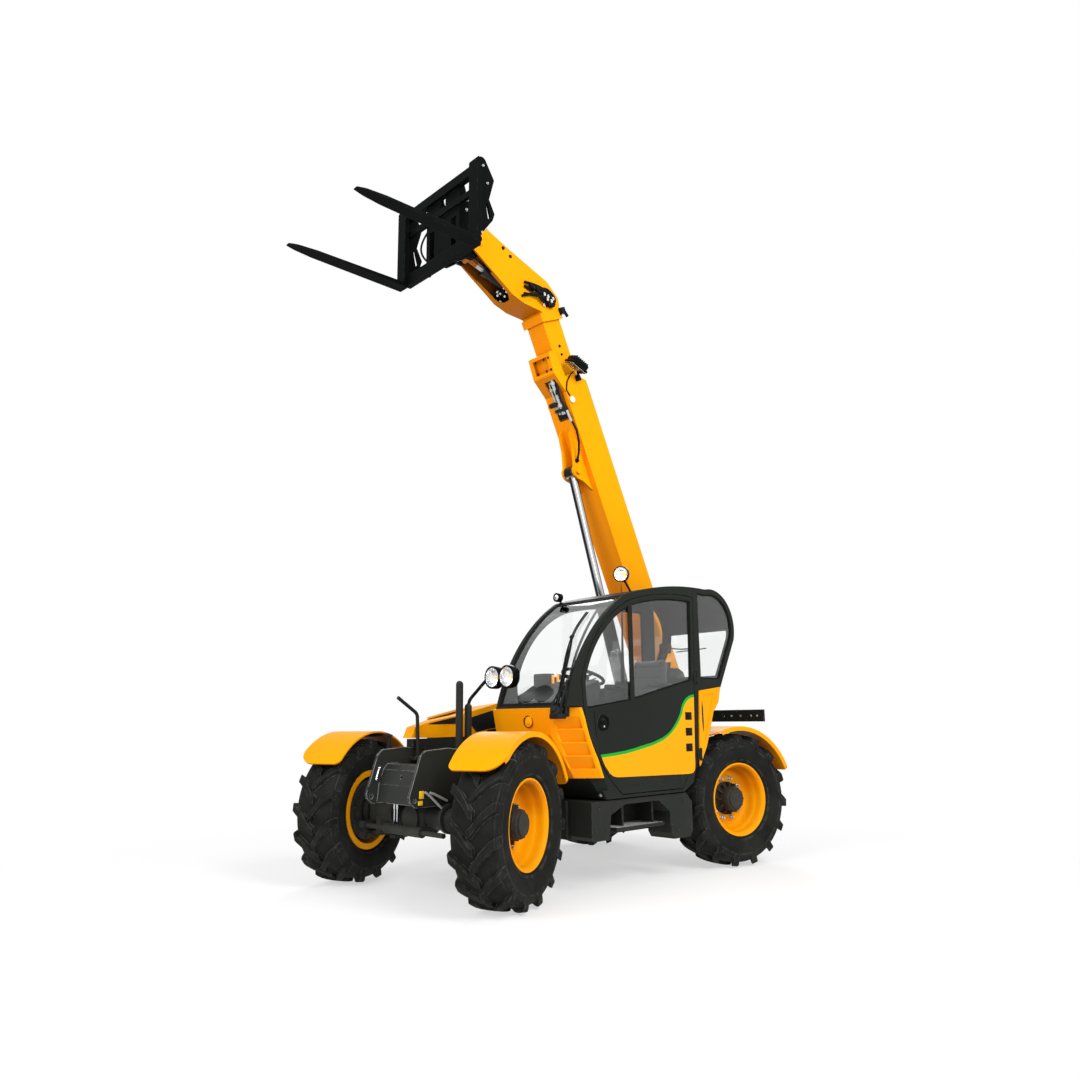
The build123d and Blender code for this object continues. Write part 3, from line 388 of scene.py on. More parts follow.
def darkSide(nt, tone):
    # polished rods mirror the dark machine along their forward right side
    across = nt.add("VectorMath", {0: nt.coords("Normal"), 1: (0.727, -0.686, 0)}, operation='DOT_PRODUCT')
    share = nt.ranged(across.outputs["Value"], 0.25, 0.5)
    back = nt.ranged(across.outputs["Value"], -0.55, -0.85, 0.0, 0.6)
    return nt.blend(nt.maths('MAXIMUM', share, back), tone, (0.018, 0.018, 0.018, 1))


rodChrome = painted("rodChrome", (0.60, 0.62, 0.64, 1), (0.7, 0.7, 0.7, 1), 0.14, 0.1, 0.01, 0.01, 0.002, metal=1.0,
                    mend=darkSide)
tiltChrome = painted("tiltChrome", (0.60, 0.62, 0.64, 1), (0.7, 0.7, 0.7, 1), 0.3, 0.1, 0.01, 0.01, 0.002, metal=0.6,
                     mend=greasyEye)
hoseRubber = painted("hoseRubber", (0.006, 0.0062, 0.006, 1), (0.030, 0.030, 0.028, 1), 0.5, 0.5, 0.04, 0.3, 0.002,
                     500.0, shine=0.08)
whiteCap = painted("whiteCap", (0.78, 0.77, 0.74, 1), (0.6, 0.58, 0.55, 1), 0.4, 0.4, 0.08)
amberLens = painted("amberLens", (1.0, 0.56, 0.02, 1), (1.0, 0.6, 0.06, 1), 0.3, 0.1, 0.02, 0.6, 0.002, 420.0,
                    shine=0.5)
redLens = painted("redLens", (0.42, 0.008, 0.006, 1), (0.5, 0.03, 0.02, 1), 0.16, 0.1, 0.02, 0.6, 0.002, 420.0,
                  shine=0.5)
steelPipe = painted("steelPipe", (0.40, 0.41, 0.405, 1), (0.6, 0.6, 0.59, 1), 0.34, 0.5, 0.08, 0.05, 0.003, shine=0.5)
print("materials ready")

# ---- wheels ----
corners = ("front_left", "front_right", "rear_left", "rear_right")
wheels = {
    "base": 1.425, "kingpin": 0.730, "offset": 0.220, "height": 0.595,
    "steer": {"front": 21.0, "rear": -11.4},
    "lugs": 15,
}


def wheelPlace(name):
    end, hand = name.split("_")
    side = 1 if hand == "left" else -1
    turn = Matrix.Rotation(math.radians(wheels["steer"][end]), 4, 'Z')
    x = (wheels["base"] if end == "front" else -wheels["base"]) + setBack
    kingpin = Matrix.Translation((x, side * wheels["kingpin"], wheels["height"]))
    place = kingpin @ turn @ Matrix.Translation((0, side * wheels["offset"], 0))
    # the second matrix turns what has an outer face outwards
    return place, place if side > 0 else place @ Matrix.Rotation(math.pi, 4, 'Z')


def aroundAxle(y, radius, angle):
    a = math.radians(angle)
    return (radius * math.cos(a), y, radius * math.sin(a))


upright = Matrix.Rotation(math.radians(-90), 4, 'X')      # local Z to the wheel's axle, which is Y
carcass = {
    # radius and place across of the case, from one bead round the crown to the other
    "rings": [(0.307, 0.151), (0.331, 0.156), (0.343, 0.169), (0.347, 0.177), (0.353, 0.178), (0.358, 0.183),
              (0.385, 0.1915), (0.430, 0.1985), (0.462, 0.1988), (0.478, 0.1975), (0.482, 0.1995), (0.490, 0.1985),
              (0.494, 0.1960), (0.520, 0.1880), (0.540, 0.1730), (0.553, 0.1450), (0.5585, 0.1000), (0.5605, 0.0500)],
    "sides": 80,
}
outerHalf = carcass["rings"] + [(0.561, 0.0)]
wholeCase = outerHalf + [(r, -y) for r, y in reversed(carcass["rings"])]
case = turned("tyreCase", wholeCase, carcass["sides"], closed=True, angle=38)
settle(case, upright)

lug = {
    # across, sweep in degrees, top radius, foot radius, half width of top and of foot in degrees
    "stations": [(-0.020, -1.0, 0.5935, 0.547, 2.6, 4.2), (0.008, 0.6, 0.5950, 0.546, 3.1, 4.6),
                 (0.045, 5.4, 0.5950, 0.546, 3.2, 4.6), (0.090, 10.4, 0.5945, 0.544, 3.2, 4.5),
                 (0.135, 14.2, 0.5925, 0.538, 3.2, 4.4), (0.168, 16.6, 0.5880, 0.520, 3.25, 4.3),
                 (0.190, 17.8, 0.5800, 0.500, 3.2, 4.1), (0.1995, 18.4, 0.5560, 0.486, 2.7, 3.3)],
}
sections = []
for y, sweep, top, foot, topHalf, footHalf in lug["stations"]:
    sections.append([aroundAxle(y, foot, sweep - footHalf), aroundAxle(y, top - 0.007, sweep - topHalf - 0.3),
                     aroundAxle(y, top, sweep - topHalf + 0.35), aroundAxle(y, top, sweep + topHalf - 0.35),
                     aroundAxle(y, top - 0.007, sweep + topHalf + 0.3), aroundAxle(y, foot, sweep + footHalf)])
lugLeft = lofted("lug", sections, angle=28)
pitch = 360.0 / wheels["lugs"]
halfPitch = Matrix.Rotation(math.radians(-pitch / 2), 4, 'Y')
lugRight = copied(lugLeft, "lugRight", halfPitch @ Matrix.Diagonal((1, -1, 1, 1)))
tidyMesh(lugRight, 28)
lugs = [lugLeft, lugRight]
for i in range(1, wheels["lugs"]):
    step = Matrix.Rotation(math.radians(-pitch * i), 4, 'Y')
    lugs += [copied(lugLeft, "lug", step), copied(lugRight, "lug", step)]
tyre = joined("tyre", [case] + lugs)

rubber, nt, surface, end = material("rubber")
place = nt.coords()
edges = nt.place(edgeWear, {"Radius": 0.006, "Amount": 1.6})
skin = nt.place(grain, {"Scale": 90.0, "Drift": 4.0})
dirty = nt.place(dust, {"High": 1.9, "Scale": 5.0, "Amount": 0.3})[0]
tone = nt.blend(nt.ranged(skin[1], 0.35, 0.65), (0.0060, 0.0068, 0.0058, 1), (0.0105, 0.0115, 0.0100, 1))
tone = nt.blend(edges[0], tone, (0.085, 0.088, 0.082, 1))
tone = nt.blend(dirty, tone, (0.05, 0.046, 0.04, 1))
relief = nt.add("Bump", {"Strength": 0.35, "Distance": 0.002, "Height": skin[0], "Normal": edges[1]})
nt.fill(surface, {"Base Color": tone, "Roughness": nt.ranged(skin[1], 0.3, 0.7, 0.62, 0.82),
                  "Normal": relief.outputs[0], "Specular IOR Level": 0.06})

rim = {
    # closed profile as (radius, across): flange, deep outer dish, disc, and the inner well
    "profile": [(0.280, -0.166), (0.327, -0.166), (0.329, -0.164), (0.329, -0.156), (0.305, -0.154), (0.305, 0.152),
                (0.310, 0.155), (0.326, 0.156), (0.3285, 0.159), (0.3285, 0.164), (0.326, 0.166), (0.316, 0.166),
                (0.312, 0.164), (0.308, 0.158), (0.298, 0.150), (0.292, 0.140), (0.290, 0.110), (0.289, 0.085),
                (0.284, 0.072), (0.276, 0.060), (0.272, 0.025), (0.266, 0.000), (0.254, -0.018), (0.240, -0.028),
                (0.228, -0.031), (0.140, -0.031), (0.120, -0.031), (0.120, -0.045), (0.245, -0.045), (0.262, -0.025),
                (0.276, -0.146)],
    "sides": 72,
}
rimShape = settle(turned("rim", rim["profile"], rim["sides"], closed=True, angle=35), upright)
hub = {
    "rings": [(0.0, -0.065), (0.1195, -0.065), (0.1195, -0.031), (0.149, -0.031), (0.150, -0.029), (0.150, -0.013),
              (0.147, -0.011), (0.122, -0.008), (0.114, -0.002), (0.112, 0.006), (0.110, 0.070), (0.110, 0.078),
              (0.106, 0.081), (0.106, 0.096), (0.102, 0.103), (0.090, 0.107), (0.086, 0.109), (0.086, 0.119),
              (0.083, 0.1235), (0.040, 0.1255), (0.036, 0.1235), (0.012, 0.1235), (0.0, 0.1235)],
    "bolts": 10, "boltRing": 0.097, "studs": 10, "studRing": 0.184,
}
hubShape = settle(turned("hub", hub["rings"], 48, angle=30), upright)
webs = []
for i in range(12):
    web = boxed("web", (0.100, -0.009, -0.006), (0.146, 0.040, 0.006), 0.002)
    webs.append(settle(web, Matrix.Rotation(math.radians(30 * i), 4, 'Y')))
hubBolt = settle(turned("bolt", [(0.0, 0.094), (0.0065, 0.094), (0.0065, 0.1105), (0.0055, 0.112), (0.0, 0.112)], 6),
                 Matrix.Translation((hub["boltRing"], 0, 0)) @ upright)
bolts = [hubBolt]
for i in range(1, hub["bolts"]):
    bolts.append(copied(hubBolt, "bolt", Matrix.Rotation(math.radians(360 / hub["bolts"] * i), 4, 'Y')))
hubShape = joined("hub", [hubShape] + webs + bolts)

nut = turned("nut", [(0.0, -0.031), (0.024, -0.031), (0.024, -0.0285), (0.019, -0.028), (0.019, -0.011),
                     (0.0165, -0.009), (0.0115, -0.009), (0.0115, 0.008), (0.009, 0.0105), (0.0, 0.0105)], 12)
settle(nut, Matrix.Translation((hub["studRing"], 0, 0)) @ upright)
studs = [nut]
for i in range(1, hub["studs"]):
    studs.append(copied(nut, "nut", Matrix.Rotation(math.radians(360 / hub["studs"] * i), 4, 'Y')))
studs = joined("studs", studs)

for name in corners:
    matrix, outward = wheelPlace(name)
    body = name + "_wheel"
    for shape, ending, paint, slot in (
            (tyre, "_tread", rubber, "tyre_rubber"), (rimShape, "_dish", yellowPaint, "yellow_paint"),
            (hubShape, "_hub", casting, "axle_casting"), (studs, "_studs", zinc, None)):
        twin = copied(shape, name + ending, matrix if ending == "_tread" else outward)
        stands = {"_tread": [name + "_tyre"], "_dish": [name + "_rim"]}.get(ending)
        finished(twin, paint, body, stands)
for pattern in (tyre, rimShape, hubShape, studs):
    bpy.data.objects.remove(pattern)
print("wheels ready")

# ---- glass ----
def clear(name, tint, rough=0.0, mend=None, relief=None):
    # light passes a pane unbent in shadow rays, so the cab isn't dark inside
    made, nt, surface, end = material(name)
    nt.fill(surface, {"Base Color": tint, "Roughness": rough, "Transmission Weight": 1.0, "IOR": 1.45,
                      "Specular IOR Level": 0.16})
    bare = nt.add("BsdfTransparent", {"Color": tuple(c * 0.97 for c in tint[:3]) + (1,)})
    if mend:
        tone = mend(nt, tint)
        nt.fill(surface, {"Base Color": tone})
        nt.fill(bare, {"Color": tone})
    if relief:
        nt.fill(surface, {"Normal": relief(nt)})
    shadow = nt.add("LightPath").outputs["Is Shadow Ray"]
    both = nt.add("MixShader", {0: shadow, 1: surface.outputs[0], 2: bare.outputs[0]})
    nt.tree.links.new(both.outputs[0], end.inputs["Surface"])
    return made


def sunBand(nt, tint):
    # the curve of the screen is tinted grey where it becomes the roof
    height = nt.add("SeparateXYZ", {0: nt.coords()}).outputs[2]
    return nt.blend(nt.ranged(height, 2.262, 2.285), tint, (0.34, 0.35, 0.36, 1))


def fluted(nt):
    # the fine upright ribs pressed into a lamp's lens
    place = nt.coords()
    ribs = nt.add("TexWave", {"Vector": place, "Scale": 26.0, "Distortion": 0.0}, bands_direction='Y').outputs[1]
    return nt.add("Bump", {"Strength": 0.5, "Distance": 0.003, "Height": ribs}).outputs[0]


clearGlass = clear("clearGlass", (0.965, 0.98, 0.975, 1))
screenGlass = clear("screenGlass", (0.965, 0.98, 0.975, 1), mend=sunBand)
lensGlass = clear("lensGlass", (0.98, 0.985, 0.985, 1), 0.02, relief=fluted)

# ---- door and window seals ----
def curved(nt, value, points):
    # a height read off a smooth line through (x, z) points
    lows, highs = (-0.85, 0.9), (0.65, 1.7)
    line = nt.add("FloatCurve", {1: nt.ranged(value, lows[0] + setBack, highs[0] + setBack)})
    spots = [((x - lows[0]) / (highs[0] - lows[0]), (z - lows[1]) / (highs[1] - lows[1])) for x, z in points]
    curve = line.mapping.curves[0]
    curve.points[0].location, curve.points[1].location = spots[0], spots[-1]
    for spot in spots[1:-1]:
        curve.points.new(*spot)
    line.mapping.update()
    return nt.ranged(line.outputs[0], 0.0, 1.0, lows[1], highs[1])


doorLine = {
    # upper and lower side of the green stripe, from the rear of the door to the front
    "upper": [(-0.82, 1.553), (-0.766, 1.549), (-0.690, 1.538), (-0.638, 1.516), (-0.600, 1.487), (-0.571, 1.453),
              (-0.535, 1.379), (-0.458, 1.287), (-0.354, 1.209), (-0.195, 1.153), (-0.005, 1.117), (0.177, 1.087),
              (0.353, 1.070), (0.497, 1.061), (0.60, 1.058)],
    "lower": [(-0.82, 1.529), (-0.764, 1.525), (-0.700, 1.515), (-0.657, 1.495), (-0.622, 1.468), (-0.595, 1.436),
              (-0.561, 1.366), (-0.477, 1.268), (-0.362, 1.187), (-0.193, 1.127), (-0.004, 1.091), (0.178, 1.062),
              (0.354, 1.046), (0.49, 1.038), (0.60, 1.035)],
    "green": (0.006, 0.36, 0.03, 1),
}


def doorColours(nt, tone):
    x, y, z = nt.add("SeparateXYZ", {0: nt.coords()}).outputs[:3]
    for side, colour in (("upper", doorLine["green"]), ("lower", amber)):
        tone = nt.blend(nt.maths('LESS_THAN', z, curved(nt, x, doorLine[side])), tone, colour)
    return tone


doorPaint = painted("doorPaint", (0.0100, 0.0122, 0.0102, 1), (0.07, 0.078, 0.073, 1), 0.36, 0.3, 0.04, radius=0.002,
                    mend=doorColours, shine=0.08)
outwards = Matrix.Rotation(math.radians(-90), 4, 'X')        # local Z to the machine's left, local Y down
skin = {
    "face": 1.0775, "thick": 0.005,
    "edge": [(0.562, 1.378), (0.546, 1.216), (0.528, 1.130), (0.502, 1.059), (0.455, 0.975), (0.400, 0.912),
             (0.357, 0.886), (0.300, 0.876), (-0.640, 0.857), (-0.690, 0.864), (-0.716, 0.884), (-0.726, 0.915),
             (-0.729, 1.000), (-0.752, 1.550), (-0.757, 1.664), (0.110, 1.476), (0.564, 1.417)],
}
panel = plated("door_skin", sideOutline(skin["edge"]), skin["thick"],
               Matrix.Translation((0, skin["face"], 0)) @ outwards, 0.002)
finished(panel, doorPaint, "cab_door")


def sealed(name, node, wanted, width, proud, body):
    # a rubber lip round a pane, drawn inwards from the pane's own rim
    obj = bpy.data.objects.new(name, nodes[node].data.copy())
    bpy.context.collection.objects.link(obj)
    editing(obj)
    bpy.ops.mesh.select_mode(type='FACE')
    bpy.ops.mesh.select_all(action='SELECT')
    bpy.ops.mesh.remove_doubles(threshold=0.0002)
    bpy.ops.mesh.dissolve_limited(angle_limit=math.radians(1))
    bpy.ops.mesh.select_all(action='DESELECT')
    for face in bmesh.from_edit_mesh(obj.data).faces:
        face.select_set(not wanted(face.normal, face.calc_center_median()))
    bpy.ops.mesh.delete(type='FACE')
    bpy.ops.mesh.select_all(action='SELECT')
    bpy.ops.mesh.inset(thickness=width, use_boundary=True)
    bpy.ops.mesh.delete(type='FACE')
    leaveEdit()
    shaped(obj, 'SOLIDIFY', thickness=proud, offset=1.0)
    shaped(obj, 'BEVEL', width=0.0025, segments=2, limit_method='ANGLE')
    bpy.ops.object.shade_smooth_by_angle(angle=math.radians(32))
    return finished(obj, hoseRubber, body)


sealed("door_seal", "door_glass", lambda n, c: n.y > 0.9, 0.013, 0.009, "cab_door")
sealed("quarter_seal", "cab_glass", lambda n, c: n.y > 0.9 and c.y > 0.9, 0.014, 0.007, "chassis")
sealed("far_seal", "cab_glass", lambda n, c: n.y > 0.9 and c.y < 0.4, 0.014, 0.007, "chassis")
sealed("rear_seal", "cab_glass", lambda n, c: n.x < -0.5, 0.018, 0.006, "chassis")
sealed("screen_seal", "windscreen", lambda n, c: n.x + n.z > 0.7 and abs(n.y) < 0.3, 0.022, 0.006, "chassis")

latch = {"at": (0.462 + setBack, 1.0835, 1.310), "pads": [(-0.656, 1.357), (-0.654, 1.220), (-0.650, 1.084)]}
atLatch = Matrix.Translation(latch["at"]) @ outwards
cup = turned("latchCup", [(0.045, -0.004), (0.045, 0.004), (0.048, 0.0095), (0.058, 0.011), (0.0655, 0.008),
                          (0.0675, 0.002), (0.0675, -0.004)], 48, closed=True)
bowl = turned("latchBowl", [(0.0, -0.0015), (0.040, -0.0015), (0.045, 0.002), (0.046, 0.004), (0.046, -0.003),
                            (0.0, -0.003)], 48)
paddle = boxed("paddle", (-0.040, -0.018, -0.001), (0.040, 0.016, 0.0085), 0.006, 3)
# a lighter grey ring round the latch cup: a painted highlight on the cup's rim
latchHighlightRing = turned("latchLine", [(0.0675, -0.004), (0.0675, 0.0015), (0.0705, 0.0015), (0.0710, 0.0),
                               (0.0710, -0.004)], 48, closed=True)
finished(settle(latchHighlightRing, atLatch), casting, "cab_door").name = "door_latch_highlight_rim"
key = turned("key", [(0.0, -0.004), (0.008, -0.004), (0.008, 0.0045), (0.006, 0.006), (0.0, 0.006)], 16)
settle(key, Matrix.Translation((0, 0.030, 0.005)))
handle = joined("door_latch", [cup, bowl, paddle])
finished(settle(handle, atLatch), glossBlack, "cab_door")
finished(settle(key, atLatch), zinc, "cab_door").name = "door_lock"

pads = []
for x, z in latch["pads"]:
    pad = boxed("pad", (x + setBack - 0.046, 1.0815, z - 0.034), (x + setBack + 0.046, 1.0850, z + 0.034), 0.0012)
    stud = boxed("stud", (x + setBack - 0.018, 1.0840, z - 0.018), (x + setBack + 0.018, 1.0895, z + 0.018), 0.0022, 3)
    pads += [pad, stud]
finished(joined("door_pads", pads), hoseRubber, "cab_door")

# the door swings on its rear edge
swing = {"x": -1.006, "y": 1.095, "heights": (1.02, 1.70)}
hinges = []
for z in swing["heights"]:
    knuckle = turned("knuckle", [(0.0, -0.055), (0.010, -0.055), (0.0125, -0.052), (0.0125, -0.019), (0.011, -0.018),
                                 (0.011, 0.018), (0.0125, 0.019), (0.0125, 0.052), (0.010, 0.055), (0.0, 0.055)], 20)
    settle(knuckle, Matrix.Translation((swing["x"], swing["y"], z)))
    hinges.append(knuckle)
    hinges.append(boxed("leaf", (swing["x"], 1.085, z - 0.045), (-0.966, 1.092, z + 0.045), 0.002))
finished(joined("door_hinges", hinges), cabPaint, "cab_door")

screenArc = {"x": -0.6474, "z": 1.0349, "radius": 1.5680}


def onScreen(z, y, stand=0.0):
    # a point on the outside of the windscreen at a height, or standing off it
    radius = screenArc["radius"] - 0.012 + stand
    return (screenArc["x"] + math.sqrt(radius ** 2 - (z - screenArc["z"]) ** 2) + setBack, y, z)


wiper = {"blade": [(1.560, 0.962), (1.700, 0.946), (1.866, 0.901), (2.027, 0.862), (2.130, 0.846), (2.235, 0.842)],
         "arm": [(1.380, 0.985), (1.470, 0.998), (1.600, 0.994), (1.750, 0.975), (1.900, 0.938), (2.010, 0.885)]}
rubberBlade = piped("wiperRubber", [onScreen(z, y, 0.010) for z, y in wiper["blade"]], 0.0055)
spine = piped("wiperSpine", [onScreen(z, y, 0.024) for z, y in wiper["blade"]], 0.0065)
rod = piped("wiperArm", [onScreen(z, y, 0.030 + 0.01 * (z < 1.6)) for z, y in wiper["arm"]], 0.009)
second = piped("wiperLink", [onScreen(z, y - 0.030, 0.030) for z, y in wiper["arm"][:5]], 0.0055)
claw = boxed("claw", (-0.020, -0.014, -0.006), (0.020, 0.014, 0.012), 0.004)
settle(claw, facing(onScreen(2.010, 0.872, 0.020), (0.8, 0, 0.6)))
parts = [rubberBlade, spine, rod, second, claw]
finished(joined("wiper", parts), hoseRubber, "chassis")
grab = piped("grab_rail", [onScreen(z, y, -0.030) for z, y in (
    (1.55, 1.000), (1.69, 0.990), (1.87, 0.955), (2.06, 0.925), (2.20, 0.885), (2.30, 0.840))], 0.011, 12)
finished(grab, cabPaint, "chassis")

# the black cluster at the foot of the near pillar: wiper motor, washer hoses and their bracket
motor = turned("motor", [(0.0, -0.05), (0.040, -0.05), (0.045, -0.045), (0.045, 0.012), (0.040, 0.018), (0.026, 0.022),
                         (0.026, 0.040), (0.018, 0.044), (0.0, 0.044)], 28)
settle(motor, facing((0.905 + setBack, 0.985, 1.405), (0.85, 0.1, 0.5)))
base = boxed("base", (0.845 + setBack, 0.930, 1.345), (0.925 + setBack, 1.045, 1.385), 0.008, 3)
post = boxed("post", (0.800 + setBack, 0.995, 1.360), (0.835 + setBack, 1.040, 1.600), 0.008, 3)
bracket = boxed("block", (0.775 + setBack, 0.985, 1.470), (0.850 + setBack, 1.050, 1.560), 0.010, 3)
hoses = [piped("hose", moved(path), 0.009) for path in (
    [(0.872, 1.015, 1.360), (0.900, 1.030, 1.450), (0.862, 1.040, 1.540), (0.815, 1.030, 1.620), (0.800, 1.010, 1.645)],
    [(0.850, 1.035, 1.350), (0.868, 1.058, 1.420), (0.835, 1.062, 1.500), (0.800, 1.050, 1.585), (0.770, 1.030, 1.610)],
    [(0.905, 0.950, 1.360), (0.930, 0.955, 1.430), (0.900, 0.975, 1.500), (0.862, 0.990, 1.560)])]
finished(joined("wiper_gear", [motor, base, post, bracket] + hoses), blackPlastic, "chassis")
print("door and seals ready")

# ---- lamps ----
def lampRings(profile, radius, depth):
    # a lamp's profile from shares of its radius and depth
    return [(r * radius, h * depth) for r, h in profile]


lampShape = {
    "housing": [(0.0, -0.62), (0.44, -0.60), (0.76, -0.36), (0.845, -0.06), (0.855, 0.035), (0.93, 0.055),
                (0.985, 0.03), (1.0, -0.03), (1.0, -0.64), (0.965, -0.72), (0.60, -0.955), (0.54, -1.0), (0.0, -1.0)],
    "bowl": [(0.0, -0.57), (0.13, -0.565), (0.40, -0.49), (0.64, -0.32), (0.79, -0.13), (0.845, 0.005), (0.857, 0.005),
             (0.80, -0.14), (0.65, -0.34), (0.41, -0.51), (0.13, -0.585), (0.0, -0.59)],
    "lens": [(0.0, 0.062), (0.40, 0.052), (0.70, 0.03), (0.842, 0.0), (0.842, -0.027), (0.69, 0.0), (0.40, 0.022),
             (0.0, 0.032)],
    "bulb": [(0.0, -0.57), (0.12, -0.57), (0.12, -0.45), (0.075, -0.43), (0.075, -0.26), (0.055, -0.22), (0.0, -0.21)],
}
lampsAt = {
    # name: place, direction, radius, depth, share of the face that is lens
    "front_left": ((1.012 + setBack, 0.524, 1.690), (1, 0, 0), 0.095, 0.092, 1.0),
    "front_right": ((1.012 + setBack, 0.340, 1.690), (1, 0, 0), 0.095, 0.092, 1.0),
    "roof_left": ((0.087 + setBack, 0.985, 2.577), (0.86, 0.48, -0.12), 0.070, 0.067, 1.0),
    "roof_right": ((0.207 + setBack, 0.300, 2.435), (1, 0, 0), 0.042, 0.067, 0.74),
}
tilt = math.radians(65.3)


def onBoom(along, out, across):
    # a point given along the boom, across it in its own plane, and sideways, in millimetres
    return (-1.6 + (along * math.cos(tilt) - out * math.sin(tilt)) / 1000 + setBack, across / 1000,
            1.72 + (along * math.sin(tilt) + out * math.cos(tilt)) / 1000)


def alongBoom(along, out, across):
    return Vector((along * math.cos(tilt) - out * math.sin(tilt), across,
                   along * math.sin(tilt) + out * math.cos(tilt)))


# local X along the boom, Y off its upper side and Z to the machine's left
boomTurn = Matrix(((math.cos(tilt), -math.sin(tilt), 0, 0), (0, 0, 1, 0), (math.sin(tilt), math.cos(tilt), 0, 0),
                   (0, 0, 0, 1)))

mirror, nt, surface, end = material("mirror")
facets = nt.add("TexWave", {"Vector": nt.coords(), "Scale": 9.0, "Distortion": 1.5},
                bands_direction='Z').outputs[1]
relief = nt.add("Bump", {"Strength": 0.25, "Distance": 0.004, "Height": facets})
nt.fill(surface, {"Base Color": (0.93, 0.94, 0.95, 1), "Metallic": 1.0, "Roughness": 0.13, "Normal": relief.outputs[0]})
filament = painted("filament", (0.9, 0.62, 0.12, 1), (0.9, 0.7, 0.3, 1), 0.2, shine=0.5)

shown = {"housing": [], "bowl": [], "lens": [], "bulb": []}
for at, towards, radius, depth, share in lampsAt.values():
    matrix = facing(at, towards)
    for part, profile in lampShape.items():
        rings = lampRings(profile, radius, depth)
        if share < 1:
            # a wide dark bezel round a small lens
            limit = 0.93 * radius
            rings = [(r * share if r < limit else r, h) for r, h in rings]
        made = settle(turned(part, rings, 48), matrix)
        shown[part].append(made)

# the boom's own lamp is an oblong one, its lens looking down while the boom is up
lampBox = Matrix.Translation(onBoom(3424, 16, 250)) @ Matrix.Rotation(math.radians(160), 4, 'Y') @ Matrix.Rotation(
    math.radians(24), 4, 'X')
shell = [boxed("shell", (-0.104, -0.066, -0.046), (0.104, 0.066, 0.020), 0.020, 4),
         boxed("frame", (-0.112, -0.074, 0.008), (0.112, 0.074, 0.036), 0.010, 3)]
shell += [boxed("fin", (x, -0.058, -0.058), (x + 0.006, 0.058, -0.030), 0.002)
          for x in (-0.078, -0.052, -0.026, 0.0, 0.026, 0.052, 0.076)]
for piece in shell:
    settle(piece, lampBox)
shell.append(settle(boxed("foot", (0, 0, 0), (0.060, 0.080, 0.012), 0.004),
                    Matrix.Translation(onBoom(3270, 40, 147.5)) @ boomTurn))
shell.append(piped("arm", [onBoom(3300, 80, 158), onBoom(3330, 84, 172), onBoom(3380, 60, 190)], 0.013, 12))
finished(joined("boom_lamp_housing", shell), glossBlack, "boom", ["boom_lamp"])
lampBack = boxed("boom_lamp_bowl", (-0.102, -0.064, 0.034), (0.102, 0.064, 0.038), 0.002)
finished(settle(lampBack, lampBox), mirror, "boom")
lampFront = boxed("boom_lamp_lens", (-0.104, -0.066, 0.038), (0.104, 0.066, 0.046), 0.004, 3)
finished(settle(lampFront, lampBox), lensGlass, "boom")

stalk = piped("stalk", [(x / 1000 + setBack, y, z / 1000) for x, y, z in (
    (1190, 0.250, 1440), (1186, 0.248, 1480), (1160, 0.244, 1520), (1085, 0.235, 1580), (1010, 0.226, 1645),
    (975, 0.240, 1680), (950, 0.290, 1690), (945, 0.340, 1690))], 0.014, 16)
link = piped("link", [(0.945 + setBack, 0.30, 1.690), (0.945 + setBack, 0.54, 1.690)], 0.012, 12, False)
nuts = []
for y in (0.340, 0.524):
    clampNut = turned("clamp", [(0.0, -0.026), (0.026, -0.026), (0.026, 0.022), (0.016, 0.026), (0.0, 0.026)], 18)
    nuts.append(settle(clampNut, Matrix.Translation((0.925 + setBack, y, 1.690))))
stays = []
for name, foot in (("roof_left", (-0.050, 0.985, 2.418)), ("roof_right", (0.140, 0.300, 2.382))):
    at, towards, radius = lampsAt[name][:3]
    start = (at[0] - 0.045, at[1], at[2] - radius * 0.75)
    stays.append(piped("stay", [start, (foot[0] + setBack, foot[1], foot[2])], 0.009, 12, False))
    stays.append(boxed("base", (foot[0] + setBack - 0.045, foot[1] - 0.022, foot[2] - 0.008),
                       (foot[0] + setBack + 0.020, foot[1] + 0.022, foot[2] + 0.006), 0.003))
front, roof = shown["housing"][:2], shown["housing"][2:]
finished(joined("front_lamp_housings", front + [stalk, link] + nuts), glossBlack, "chassis",
         ["front_lamps"])
finished(joined("work_lamp_housings", roof + stays), glossBlack, "chassis", ["work_lamps"])
finished(joined("lamp_bowls", shown["bowl"]), mirror, "chassis")
finished(joined("lamp_lenses", shown["lens"]), lensGlass, "chassis")
finished(joined("lamp_bulbs", shown["bulb"]), filament, "chassis")
print("lamps ready")

# ---- inside the cab ----
seatCloth, nt, surface, end = material("seatCloth")
spot = nt.coords()
across = nt.add("TexWave", {"Vector": spot, "Scale": 160.0, "Distortion": 0.6}, bands_direction='Y').outputs[1]
along = nt.add("TexWave", {"Vector": spot, "Scale": 160.0, "Distortion": 0.6}, bands_direction='DIAGONAL').outputs[1]
weave = nt.maths('MULTIPLY', across, along)
fibre = nt.place(grain, {"Scale": 900.0, "Drift": 6.0})
tone = nt.blend(weave, (0.010, 0.011, 0.011, 1), (0.035, 0.037, 0.036, 1))
tone = nt.blend(nt.place(dust, {"Low": 1.2, "High": 2.2, "Amount": 0.12})[0], tone, (0.12, 0.11, 0.09, 1))
relief = nt.add("Bump", {"Strength": 0.5, "Distance": 0.001, "Height": nt.maths('ADD', weave, fibre[0])})
nt.fill(surface, {"Base Color": tone, "Roughness": 0.9, "Normal": relief.outputs[0], "Sheen Weight": 0.3,
                  "Specular IOR Level": 0.12})


